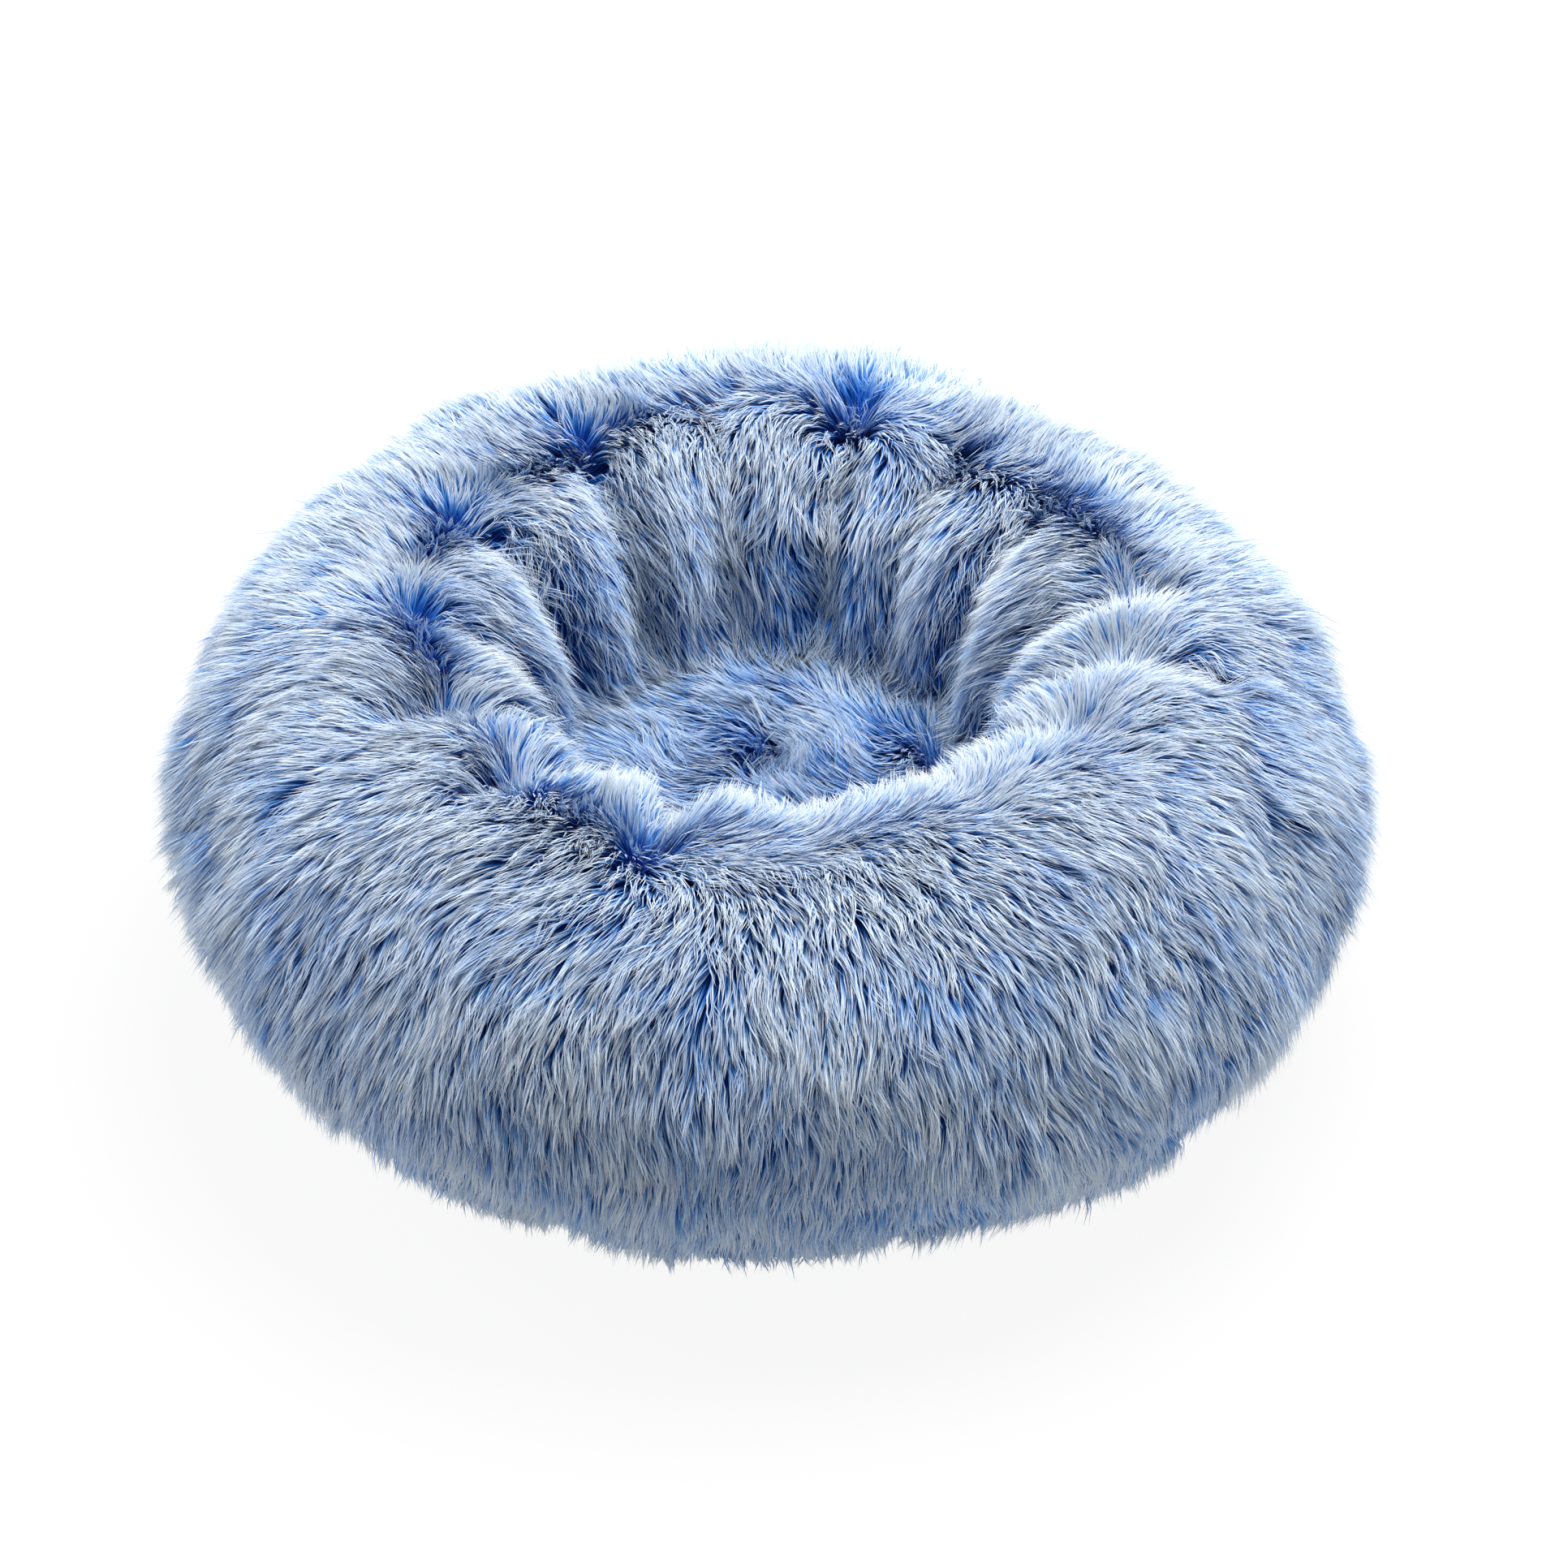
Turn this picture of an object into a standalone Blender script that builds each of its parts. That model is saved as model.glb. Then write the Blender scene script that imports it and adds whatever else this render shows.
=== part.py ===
"""A round donut pet bed: a plump fur bolster round a sunken fur cushion, on a cloth base.

The fur cover opens at a zip that runs round the rear of the base, and holds two filled
inner cases. Lengths are in metres, +Z is up and the base lies on the plane z = 0.
"""

import math

import bmesh
import bpy
from mathutils import Matrix

# Overall form, measured over the pile
bed_diameter = 0.500
bed_height = 0.200
bolster_width = 0.165
crest_inset = 0.095
widest_level = 0.095
hollow_level = 0.115
pile_foot_level = 0.0012
pile_foot_reach = 0.003
foot_fullness = 1.5

# Fur cover: backing cloth and laid pile together
pile_depth = 0.020
lip_level = 0.0045
nest_seam_level = 0.088
nest_undercut = 0.0035
gather_depth = 0.009
gather_turn_shares = (
    0.017, 0.092, 0.153, 0.211, 0.275, 0.344, 0.422, 0.500,
    0.567, 0.633, 0.700, 0.772, 0.842, 0.911, 0.969,
)
gather_station_shares = (0.0, 0.2, 0.5, 0.8)

# Where the filling has settled: turn share, angle up the section in degrees, and swell
settled_places = ((0.872, -20, 0.006), (0.640, -20, 0.004), (0.115, 62, -0.009))
settled_turn_reach = 0.065
settled_angle_reach = 33

# Centre cushion
panel_edge_gap = 0.0012
panel_crown_level = 0.113
panel_edge_level = 0.098
panel_depth = 0.018
panel_corner = 0.010
seam_binding_width = 0.006
seam_binding_height = 0.0045

# Base cloth and the gap where a needle or a fold lies between two pieces
base_inset = 0.100
base_thickness = 0.0015
piece_gap = 0.0003
cloth_gap = 0.0012
case_cloth = 0.0010
fill_gap = 0.0006
case_foot_gap = 0.010
case_side_gap = 0.0015
case_corner = 0.016
filling_slit_turn_share = 0.09
filling_mouth_diameter = 0.050

# Zip, along an arc at the rear edge of the base, in the gusset between base and cover
gusset_width = 0.0130
zip_offset = 0.0077
zip_level = 0.0055
zip_start_angle = math.radians(35)
zip_sweep_angle = math.radians(110)
tape_thickness = 0.0006
tape_overlap = 0.008
tape_slope = 0.0032
lip_overlap = 0.0050
coil_width = 0.0025
coil_height = 0.0024
coil_groove = 0.0012
tooth_depth = 0.0008
tooth_pitch = 0.0036
recess_ceiling = 0.0095
stop_length = 0.0035
stop_height = 0.0028

# Slider and its pull tab
slider_length = 0.0100
slider_width = 0.0094
slider_tail_width = 0.0070
slider_height = 0.0050
slider_plate = 0.0010
slider_flange = 0.0010
slider_slot = 0.0014
divider_width = 0.0006
bridge_length = 0.0066
bridge_width = 0.0016
bridge_wall = 0.0008
bridge_drop = 0.0027
tab_length = 0.0230
tab_width = 0.0060
tab_tip_width = 0.0045
tab_thickness = 0.0010
tab_bar = 0.0010
tab_eye_length = 0.0040
tab_eye_width = 0.0030
tab_tip_hole = 0.0020

# Facets
cushion_steps = 40
case_steps = 36
edge_steps = 72
weld_distance = 0.00002

# Places that follow from the sizes above
bed_radius = bed_diameter / 2
crest_radius = bed_radius - crest_inset
hollow_radius = bed_radius - bolster_width
base_radius = bed_radius - base_inset
zip_radius = base_radius + zip_offset
lip_radius = base_radius + gusset_width
pile_foot_radius = lip_radius + pile_foot_reach
base_top = base_thickness + piece_gap
seam_radius = hollow_radius + nest_undercut
full_turn = math.tau


def new_collection(name):
    collection = bpy.data.collections.new(name)
    bpy.context.scene.collection.children.link(collection)
    return collection


def new_material(name, colour, roughness, metallic):
    material = bpy.data.materials.new(name)
    material.use_nodes = True
    material.diffuse_color = (*colour, 1.0)
    shader = material.node_tree.nodes["Principled BSDF"]
    shader.inputs["Base Color"].default_value = (*colour, 1.0)
    shader.inputs["Roughness"].default_value = roughness
    shader.inputs["Metallic"].default_value = metallic
    return material


def fur_material():
    return new_material("blue_fur", (0.35, 0.45, 0.60), 0.9, 0.0)


def nonwoven_material():
    return new_material("white_nonwoven", (0.82, 0.82, 0.80), 0.9, 0.0)


def fibre_material():
    return new_material("white_fibre", (0.90, 0.90, 0.88), 1.0, 0.0)


def base_cloth_material():
    return new_material("grey_base_cloth", (0.16, 0.19, 0.24), 0.8, 0.0)


def zip_cloth_material():
    return new_material("blue_zip_tape", (0.12, 0.22, 0.42), 0.8, 0.0)


def coil_material():
    return new_material("blue_nylon", (0.14, 0.25, 0.46), 0.45, 0.0)


def steel_material():
    return new_material("zip_steel", (0.55, 0.56, 0.58), 0.35, 1.0)


def keep(name, mesh, collection, material):
    """One named object from a finished mesh."""
    mesh.materials.clear()
    mesh.materials.append(material)
    body = bpy.data.objects.new(name, mesh)
    collection.objects.link(body)
    return body


def evaluated_mesh(body):
    """The object's mesh with its modifiers applied, and the object itself removed."""
    bpy.context.view_layer.update()
    graph = bpy.context.evaluated_depsgraph_get()
    mesh = bpy.data.meshes.new_from_object(body.evaluated_get(graph))
    mesh.transform(body.matrix_world)
    bpy.data.objects.remove(body)
    return mesh


def tidy_normals(mesh):
    """Loose points at the caps are welded and every face is turned outwards."""
    work = bmesh.new()
    work.from_mesh(mesh)
    bmesh.ops.remove_doubles(work, verts=work.verts, dist=weld_distance)
    bmesh.ops.recalc_face_normals(work, faces=work.faces)
    work.to_mesh(mesh)
    work.free()


def shade_round(mesh):
    mesh.shade_smooth()
    mesh.set_sharp_from_angle(angle=math.radians(40))


def turned(name, outline, steps, collection, closed=True, sweep=full_turn, start=0.0):
    """A profile of (radius, level) points turned about Z with a Screw modifier."""
    points = [(radius, 0.0, level) for radius, level in outline]
    count = len(points)
    edges = [(i, (i + 1) % count) for i in range(count if closed else count - 1)]
    profile = bpy.data.meshes.new(name)
    profile.from_pydata(points, edges, [])
    body = bpy.data.objects.new(name + "_profile", profile)
    collection.objects.link(body)
    body.rotation_euler.z = start
    screw = body.modifiers.new("turn", "SCREW")
    screw.axis = "Z"
    screw.angle = sweep
    screw.steps = steps
    screw.render_steps = steps
    screw.use_merge_vertices = True
    screw.merge_threshold = weld_distance
    mesh = evaluated_mesh(body)
    tidy_normals(mesh)
    return mesh


def arc_strip(name, outline, steps, collection, start, sweep):
    """A closed profile turned through part of a turn, with both ends filled."""
    mesh = turned(name, outline, steps, collection, sweep=sweep, start=start)
    work = bmesh.new()
    work.from_mesh(mesh)
    rims = [edge for edge in work.edges if edge.is_boundary]
    bmesh.ops.holes_fill(work, edges=rims, sides=0)
    bmesh.ops.recalc_face_normals(work, faces=work.faces)
    work.to_mesh(mesh)
    work.free()
    return mesh


def bent(value, fullness):
    """A sine or cosine drawn in, so that a fullness below 2 gives a flatter curve."""
    return math.copysign(abs(value) ** (2 / fullness), value)


def quarter(centre_radius, centre_level, reach, rise, angles, fullness=2):
    """Points of a quarter round in the profile plane, from angles in degrees."""
    turns = [math.radians(angle) for angle in angles]
    return [
        (
            centre_radius + reach * bent(math.cos(turn), fullness),
            centre_level + rise * bent(math.sin(turn), fullness),
        )
        for turn in turns
    ]


def pile_outline():
    """Outer surface of the bolster, from the nest seam over the crest to the pile's foot."""
    wall = [(seam_radius, nest_seam_level)]
    inner = quarter(
        crest_radius, hollow_level, crest_radius - hollow_radius,
        bed_height - hollow_level, (180, 150, 120),
    )
    outer = quarter(
        crest_radius, widest_level, bed_radius - crest_radius,
        bed_height - widest_level, (90, 60, 30, 0),
    )
    foot = quarter(
        pile_foot_radius, widest_level, bed_radius - pile_foot_radius,
        widest_level - pile_foot_level, (-20, -45, -68, -90), foot_fullness,
    )
    return wall + inner + outer + foot


def backing_outline(inset):
    """Inner side of the cover from the lip to the nest seam, moved inwards by a further inset."""
    depth = pile_depth + inset
    foot = quarter(
        lip_radius, widest_level, bed_radius - depth - lip_radius,
        widest_level - lip_level - inset, (-90, -62, -30, 0), foot_fullness,
    )
    outer = quarter(
        crest_radius, widest_level, bed_radius - depth - crest_radius,
        bed_height - depth - widest_level, (45, 90),
    )
    inner = quarter(
        crest_radius, hollow_level, crest_radius - hollow_radius - depth,
        bed_height - depth - hollow_level, (135, 180),
    )
    return foot + outer + inner


def station_angles():
    """Where the cover's facets fall: each gather has its crease, two shoulders and a swell."""
    angles = []
    for i, share in enumerate(gather_turn_shares):
        following = gather_turn_shares[(i + 1) % len(gather_turn_shares)]
        width = (following - share) % 1.0
        angles += [full_turn * (share + width * part) for part in gather_station_shares]
    return angles


def gather_strength(radius, level):
    """How far a crease is drawn in there: full on the inner wall, fading past the crest."""
    turn = math.degrees(math.atan2(level - hollow_level, radius - crest_radius))
    if turn < -90:
        return 1.0
    return max(0.0, min(1.0, (turn - 40) / 60))


def settled_swell(radius, level, angle):
    """How far the settled filling pushes the outer wall out at this place."""
    up = math.degrees(math.atan2(level - widest_level, radius - crest_radius))
    swell = 0
    for share, middle, push in settled_places:
        beside = (angle / full_turn - share + 0.5) % 1.0 - 0.5
        near = (beside / settled_turn_reach) ** 2 + ((up - middle) / settled_angle_reach) ** 2
        swell += push * math.exp(-near)
    return swell * min(1.0, (level - pile_foot_level) / widest_level * 2)


def draw_in_gathers(mesh):
    """Moves each ring of points to its station and draws creases and swells into the pile."""
    angles = station_angles()
    step = full_turn / len(angles)
    pile = pile_outline()
    for vertex in mesh.vertices:
        x, y, level = vertex.co
        radius = math.hypot(x, y)
        station = round((math.atan2(y, x) % full_turn) / step) % len(angles)
        angle = angles[station]
        in_crease = station % len(gather_station_shares) == 0
        on_pile = any(math.dist((radius, level), point) < weld_distance for point in pile)
        if on_pile and in_crease:
            to_core = (crest_radius - radius, hollow_level - level)
            drawn = gather_depth * gather_strength(radius, level) / math.hypot(*to_core)
            radius += to_core[0] * drawn
            level += to_core[1] * drawn * (level > nest_seam_level + piece_gap)
        if on_pile and radius > crest_radius - pile_depth:
            from_core = (radius - crest_radius, level - widest_level)
            moved = settled_swell(radius, level, angle) / math.hypot(*from_core)
            radius += from_core[0] * moved
            level += from_core[1] * moved
        vertex.co = (radius * math.cos(angle), radius * math.sin(angle), level)


def add_bolster_fur_cover(collection, material):
    """The fur skin: outer wall, crest and inner wall, open underneath for the filled case."""
    lining_edge = (hollow_radius + pile_depth, nest_seam_level)
    outline = pile_outline() + backing_outline(0.0) + [lining_edge]
    steps = len(gather_turn_shares) * len(gather_station_shares)
    mesh = turned("bolster_fur_cover", outline, steps, collection)
    draw_in_gathers(mesh)
    shade_round(mesh)
    return keep("bolster_fur_cover", mesh, collection, material)


def add_nest_fur_panel(collection, material):
    """The crowned fur disc that closes the hollow, drawn in at its edge."""
    edge = hollow_radius - panel_edge_gap
    shoulder = edge - panel_corner
    rise = panel_crown_level - panel_edge_level
    crown = [
        (shoulder * share, panel_crown_level - rise * share**2)
        for share in (0.0, 0.35, 0.70, 1.0)
    ]
    side = [(edge, panel_edge_level - panel_corner), (edge, panel_edge_level - panel_depth + piece_gap)]
    under = [(radius, level - panel_depth) for radius, level in reversed(crown)]
    mesh = turned("nest_fur_panel", crown + side + under, cushion_steps, collection, closed=False)
    shade_round(mesh)
    return keep("nest_fur_panel", mesh, collection, material)


def add_nest_seam_binding(collection, material):
    """The bound seam where the inner wall meets the nest panel, under the pile."""
    top = nest_seam_level - piece_gap
    middle = seam_radius + seam_binding_width / 2
    outline = quarter(
        middle, top - seam_binding_height / 2, seam_binding_width / 2,
        seam_binding_height / 2, (135, 45, -45, -135),
    )
    mesh = turned("nest_seam_binding", outline, cushion_steps, collection)
    return keep("nest_seam_binding", mesh, collection, material)


def bolster_case_outline(inset):
    """Outside of the bolster's inner case, or of its fill when moved inwards."""
    inner_radius = hollow_radius + pile_depth + cloth_gap + inset
    top = backing_outline(cloth_gap + inset)
    outer_side = [point for point in top if point[1] > recess_ceiling + inset]
    recess_radius = base_radius
    foot = [
        (inner_radius + case_foot_gap, base_top + inset),
        (base_radius - tape_overlap - cloth_gap - inset, base_top + inset),
        (recess_radius - inset, recess_ceiling + inset),
        (lip_radius, recess_ceiling + inset),
    ]
    corner = [(inner_radius, base_top + inset + case_corner)]
    return corner[::-1] + list(reversed(outer_side)) + list(reversed(foot))


def add_case(name, outline, steps, hole, collection, material, closed=True):
    """A sewn cloth case: a thin shell with the opening that it is filled through."""
    mesh = turned(name, outline, steps, collection, closed=closed)
    work = bmesh.new()
    work.from_mesh(mesh)
    cut = [face for face in work.faces if hole(face.calc_center_median())]
    bmesh.ops.delete(work, geom=cut, context="FACES")
    work.to_mesh(mesh)
    work.free()
    body = keep(name, mesh, collection, material)
    shell = body.modifiers.new("cloth", "SOLIDIFY")
    shell.thickness = case_cloth
    shell.offset = -1.0
    shell.use_even_offset = True
    return body


def in_filling_slit(centre):
    """Faces of the bolster case that its filling slit takes away, at the front underneath."""
    radius = math.hypot(centre.x, centre.y)
    turn = (math.atan2(-centre.x, -centre.y) / full_turn) % 1.0
    beside = min(turn, 1.0 - turn) < filling_slit_turn_share / 2
    return beside and centre.z < base_top + case_cloth and radius < base_radius


def add_bolster_case(collection, material):
    return add_case(
        "bolster_inner_case", bolster_case_outline(0.0), case_steps, in_filling_slit,
        collection, material,
    )


def add_bolster_fill(collection, material):
    outline = bolster_case_outline(case_cloth + fill_gap)
    mesh = turned("bolster_fibre_fill", outline, case_steps, collection)
    shade_round(mesh)
    return keep("bolster_fibre_fill", mesh, collection, material)


def nest_case_outline(inset):
    """Outside of the nest cushion's inner case, or of its fill when moved inwards."""
    side = hollow_radius + pile_depth + cloth_gap - case_side_gap - inset
    shoulder = side - case_corner
    under_panel = panel_depth + cloth_gap + inset
    rise = panel_crown_level - panel_edge_level
    reach = hollow_radius - panel_edge_gap - panel_corner
    crown = [
        (shoulder * share, panel_crown_level - under_panel - rise * (shoulder * share / reach) ** 2)
        for share in (0.0, 0.45, 0.85)
    ]
    low = base_top + inset
    top_edge = crown[-1][1] - case_corner / 3
    return crown + [
        (side, top_edge - case_corner),
        (side, low + case_corner),
        (shoulder, low),
        (filling_mouth_diameter / 2, low),
        (0.0, low),
    ]


def in_filling_mouth(centre):
    """Faces of the nest case that its round filling mouth takes away underneath."""
    radius = math.hypot(centre.x, centre.y)
    return centre.z < base_top + case_cloth and radius < filling_mouth_diameter / 2


def add_nest_case(collection, material):
    return add_case(
        "nest_inner_case", nest_case_outline(0.0), case_steps, in_filling_mouth,
        collection, material, closed=False,
    )


def add_nest_fill(collection, material):
    outline = nest_case_outline(case_cloth + fill_gap)
    mesh = turned("nest_fibre_fill", outline, case_steps, collection, closed=False)
    shade_round(mesh)
    return keep("nest_fibre_fill", mesh, collection, material)


def add_base_cloth(collection, material):
    """The grip cloth disc that the bed rests on."""
    outline = [(0.0, base_thickness), (base_radius, base_thickness), (base_radius, 0.0), (0.0, 0.0)]
    mesh = turned("base_grip_cloth", outline, edge_steps, collection, closed=False)
    return keep("base_grip_cloth", mesh, collection, material)


def inner_tape_points():
    """Top side of the tape on the base, from the base cloth up to the coil."""
    low = base_top + tape_thickness
    high = zip_level + tape_thickness / 2
    slope_start = base_radius - tape_thickness
    return [
        (base_radius - tape_overlap, low),
        (slope_start, low),
        (slope_start + tape_slope, high),
        (zip_radius - coil_groove / 2 - coil_width - piece_gap, high),
    ]


def over_lip(radius):
    """Level of the top side of a tape that lies on the cover's lip at this radius."""
    foot, above = backing_outline(0.0)[:2]
    slope = (above[1] - foot[1]) / (above[0] - foot[0])
    return foot[1] + slope * (radius - foot[0]) + tape_thickness + 2 * piece_gap


def outer_tape_points():
    """Top side of the tape on the cover, from the coil out over the cover's lip."""
    high = zip_level + tape_thickness / 2
    bend = lip_radius + tape_thickness
    edge = lip_radius + lip_overlap
    return [
        (zip_radius + coil_groove / 2 + coil_width + piece_gap, high),
        (lip_radius - tape_thickness / 2, high),
        (bend, max(high, over_lip(bend))),
        (edge, over_lip(edge)),
    ]


def strip_outline(top_points):
    """A strip of tape thickness under a row of points."""
    return top_points + [(radius, level - tape_thickness) for radius, level in reversed(top_points)]


def add_zip_tape(name, top_points, collection, material):
    steps = round(edge_steps * zip_sweep_angle / full_turn)
    outline = strip_outline(top_points)
    mesh = arc_strip(name, outline, steps, collection, zip_start_angle, zip_sweep_angle)
    return keep(name, mesh, collection, material)


def add_edge_binding(collection, material):
    """The sewn strip that joins the base to the cover everywhere outside the zip."""
    end_gap = piece_gap / zip_radius
    start = zip_start_angle + zip_sweep_angle + end_gap
    sweep = full_turn - zip_sweep_angle - 2 * end_gap
    outline = strip_outline(inner_tape_points()[:3] + outer_tape_points()[1:])
    steps = round(edge_steps * sweep / full_turn)
    mesh = arc_strip("base_edge_binding", outline, steps, collection, start, sweep)
    return keep("base_edge_binding", mesh, collection, material)


def coil_span():
    """Start and sweep of the toothed coils, which leave room for a stop at each end."""
    margin = (stop_length + 2 * piece_gap) / zip_radius
    return zip_start_angle + margin, zip_sweep_angle - 2 * margin


def add_coil(name, side, collection, material):
    """One row of zip teeth, a cord whose inner edge swells and dips once for each turn."""
    start, sweep = coil_span()
    teeth = round(sweep * zip_radius / tooth_pitch)
    tip = zip_radius + side * coil_groove / 2
    back = tip + side * coil_width
    top = zip_level + coil_height / 2
    bottom = zip_level - coil_height / 2
    outline = [(back, top), (tip, top), (tip, bottom), (back, bottom)]
    mesh = arc_strip(name, outline, 2 * teeth, collection, start, sweep)
    half_pitch = sweep / (2 * teeth)
    for vertex in mesh.vertices:
        radius = math.hypot(vertex.co.x, vertex.co.y)
        turn = (math.atan2(vertex.co.y, vertex.co.x) - start) % full_turn
        dips = round(turn / half_pitch) % 2 == (side > 0)
        if dips and abs(radius - tip) < coil_width / 2:
            share = (tip + side * tooth_depth) / radius
            vertex.co.x *= share
            vertex.co.y *= share
    return keep(name, mesh, collection, material)


def add_stop(name, inner, outer, angle, collection, material):
    """A pressed metal stop over the end of the teeth."""
    sweep = stop_length / zip_radius
    top = zip_level + stop_height / 2
    bottom = zip_level - stop_height / 2
    outline = [(inner, top), (outer, top), (outer, bottom), (inner, bottom)]
    mesh = arc_strip(name, outline, 2, collection, angle, sweep)
    return keep(name, mesh, collection, material)


def add_stops(collection, material):
    """Two top stops where the zip is closed, and one bottom stop across both coils."""
    half = coil_groove / 2
    reach = half + coil_width
    margin = piece_gap / zip_radius
    first = zip_start_angle + margin
    last = zip_start_angle + zip_sweep_angle - margin - stop_length / zip_radius
    add_stop("zip_top_stop_base", zip_radius - reach, zip_radius - half, first, collection, material)
    add_stop("zip_top_stop_cover", zip_radius + half, zip_radius + reach, first, collection, material)
    add_stop("zip_bottom_stop", zip_radius - reach, zip_radius + reach, last, collection, material)


def flat_outline(name, splines, thickness, collection):
    """A filled flat outline, with any holes, given a thickness and made a mesh."""
    curve = bpy.data.curves.new(name, "CURVE")
    curve.dimensions = "2D"
    curve.fill_mode = "BOTH"
    curve.extrude = thickness / 2
    for points in splines:
        spline = curve.splines.new("POLY")
        spline.points.add(len(points) - 1)
        for point, (x, y) in zip(spline.points, points, strict=True):
            point.co = (x, y, 0.0, 1.0)
        spline.use_cyclic_u = True
    body = bpy.data.objects.new(name, curve)
    collection.objects.link(body)
    return body


def solid_outline(name, splines, thickness, rotation, collection, cutters):
    """The same as a welded mesh object among the helpers, turned to where it is used."""
    body = flat_outline(name, splines, thickness, collection)
    body.rotation_euler = rotation
    mesh = evaluated_mesh(body)
    tidy_normals(mesh)
    helper = bpy.data.objects.new(name, mesh)
    cutters.objects.link(helper)
    helper.hide_render = True
    helper.display_type = "WIRE"
    return helper


def slider_section():
    """Section of the slider: two flanged plates joined by the divider between the coils."""
    half = slider_width / 2
    inside = half - slider_flange
    outer = slider_height / 2
    inner = outer - slider_plate
    slot = slider_slot / 2
    web = divider_width / 2
    right = [
        (web, -inner), (inside, -inner), (inside, -slot), (half, -slot),
        (half, -outer),
    ]
    left = [(-x, y) for x, y in reversed(right)]
    lower = right + left
    return lower + [(x, -y) for x, y in reversed(lower)]


def slider_plan():
    """Plan of the slider: wide shoulders at its mouth and a narrower rounded tail."""
    half = slider_width / 2 + piece_gap
    tail = slider_tail_width / 2
    front = slider_length / 2
    bend = slider_length / 6
    return [
        (half - bend, front), (half, front - bend), (half, 0.0), (tail, -front + bend / 2),
        (tail - bend, -front), (bend - tail, -front), (-tail, -front + bend / 2),
        (-half, 0.0), (-half, front - bend), (bend - half, front),
    ]


def bridge_outline():
    """Side view of the bridge that carries the pull tab, as (travel, level) from the plate."""
    outer = bridge_length / 2
    inner = outer - bridge_wall
    sunk = slider_plate / 2
    return [
        (outer, sunk), (outer, -bridge_drop), (-outer, -bridge_drop), (-outer, sunk),
        (-inner, sunk), (-inner, bridge_wall - bridge_drop), (inner, bridge_wall - bridge_drop),
        (inner, sunk),
    ]


def slider_angle():
    """The slider's place when the zip is closed, just past the top stops."""
    return coil_span()[0] + (slider_length / 2 + piece_gap) / zip_radius


def add_slider(collection, cutters, material):
    """The zip slider, modelled at +X and turned about the bed's axis to its place."""
    upright = (math.radians(90), 0.0, 0.0)
    side_on = (math.radians(90), 0.0, math.radians(90))
    section = solid_outline(
        "slider_section", [slider_section()], 2 * slider_length, upright, collection, cutters
    )
    plan = solid_outline(
        "slider_plan", [slider_plan()], 2 * slider_height, (0.0, 0.0, 0.0), collection, cutters
    )
    bridge = solid_outline(
        "slider_bridge", [bridge_outline()], bridge_width, side_on, collection, cutters
    )
    bridge.data.transform(Matrix.Translation((0.0, 0.0, -slider_height / 2)))
    body = bpy.data.objects.new("zip_slider", section.data.copy())
    collection.objects.link(body)
    for helper, operation in ((plan, "INTERSECT"), (bridge, "UNION")):
        cut = body.modifiers.new(helper.name, "BOOLEAN")
        cut.operation = operation
        cut.object = helper
    mesh = evaluated_mesh(body)
    tidy_normals(mesh)
    mesh.transform(Matrix.Translation((zip_radius, 0.0, zip_level)))
    slider = keep("zip_slider", mesh, collection, material)
    slider.rotation_euler.z = slider_angle()
    return slider


def add_pull_tab(collection, cutters, material):
    """The pull tab, with its eye round the bridge and its origin on the hinge line."""
    half = tab_width / 2
    tip = tab_tip_width / 2
    near = tab_bar / 2
    eye = tab_eye_width / 2
    far = near - tab_length
    eye_end = -near - tab_eye_length
    hole = tab_tip_hole / 2
    outer = [
        (half, near), (half, eye_end - half), (tip, far + tip), (tip / 2, far),
        (-tip / 2, far), (-tip, far + tip), (-half, eye_end - half), (-half, near),
    ]
    opening = [(eye, -near), (-eye, -near), (-eye, eye_end), (eye, eye_end)]
    centre = far + 2 * tip
    tip_hole = [
        (hole * math.cos(full_turn * i / 8), centre + hole * math.sin(full_turn * i / 8))
        for i in range(8)
    ]
    shape = solid_outline(
        "tab_outline", [outer, opening, tip_hole], tab_thickness, (0.0, 0.0, 0.0),
        collection, cutters,
    )
    tab = keep("zip_pull_tab", shape.data.copy(), collection, material)
    angle = slider_angle()
    hinge_level = zip_level - slider_height / 2 - (bridge_drop - bridge_wall) / 2
    tab.location = (zip_radius * math.cos(angle), zip_radius * math.sin(angle), hinge_level)
    tab.rotation_euler.z = angle
    return tab


def clear_scene():
    for body in list(bpy.data.objects):
        bpy.data.objects.remove(body)


def main():
    clear_scene()
    parts = new_collection("donut_pet_bed")
    cutters = new_collection("cutters")
    fur = fur_material()
    nonwoven = nonwoven_material()
    fibre = fibre_material()
    base_cloth = base_cloth_material()
    tape = zip_cloth_material()
    nylon = coil_material()
    steel = steel_material()
    add_bolster_fur_cover(parts, fur)
    add_nest_fur_panel(parts, fur)
    add_nest_seam_binding(parts, tape)
    add_bolster_case(parts, nonwoven)
    add_bolster_fill(parts, fibre)
    add_nest_case(parts, nonwoven)
    add_nest_fill(parts, fibre)
    add_base_cloth(parts, base_cloth)
    add_edge_binding(parts, base_cloth)
    add_zip_tape("zip_tape_base", inner_tape_points(), parts, tape)
    add_zip_tape("zip_tape_cover", outer_tape_points(), parts, tape)
    add_coil("zip_coil_base", -1, parts, nylon)
    add_coil("zip_coil_cover", 1, parts, nylon)
    add_stops(parts, steel)
    add_slider(parts, cutters, steel)
    add_pull_tab(parts, cutters, steel)


main()
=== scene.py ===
# %% [markdown]
# # A donut pet bed in long-pile faux fur
#
# The real object is a fat ring of loose fibre in a fur cover, sewn round a low fur
# cushion. Nearly everything that the eye sees is pile: thousands of pointed locks, deep
# blue at the root and icy at the tip, which lie the way that a hand last brushed them.
# So this lesson spends most of its cells on the pile, and the rest on the fillings, the
# grip cloth and the zip underneath.

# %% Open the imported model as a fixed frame
import math

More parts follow.
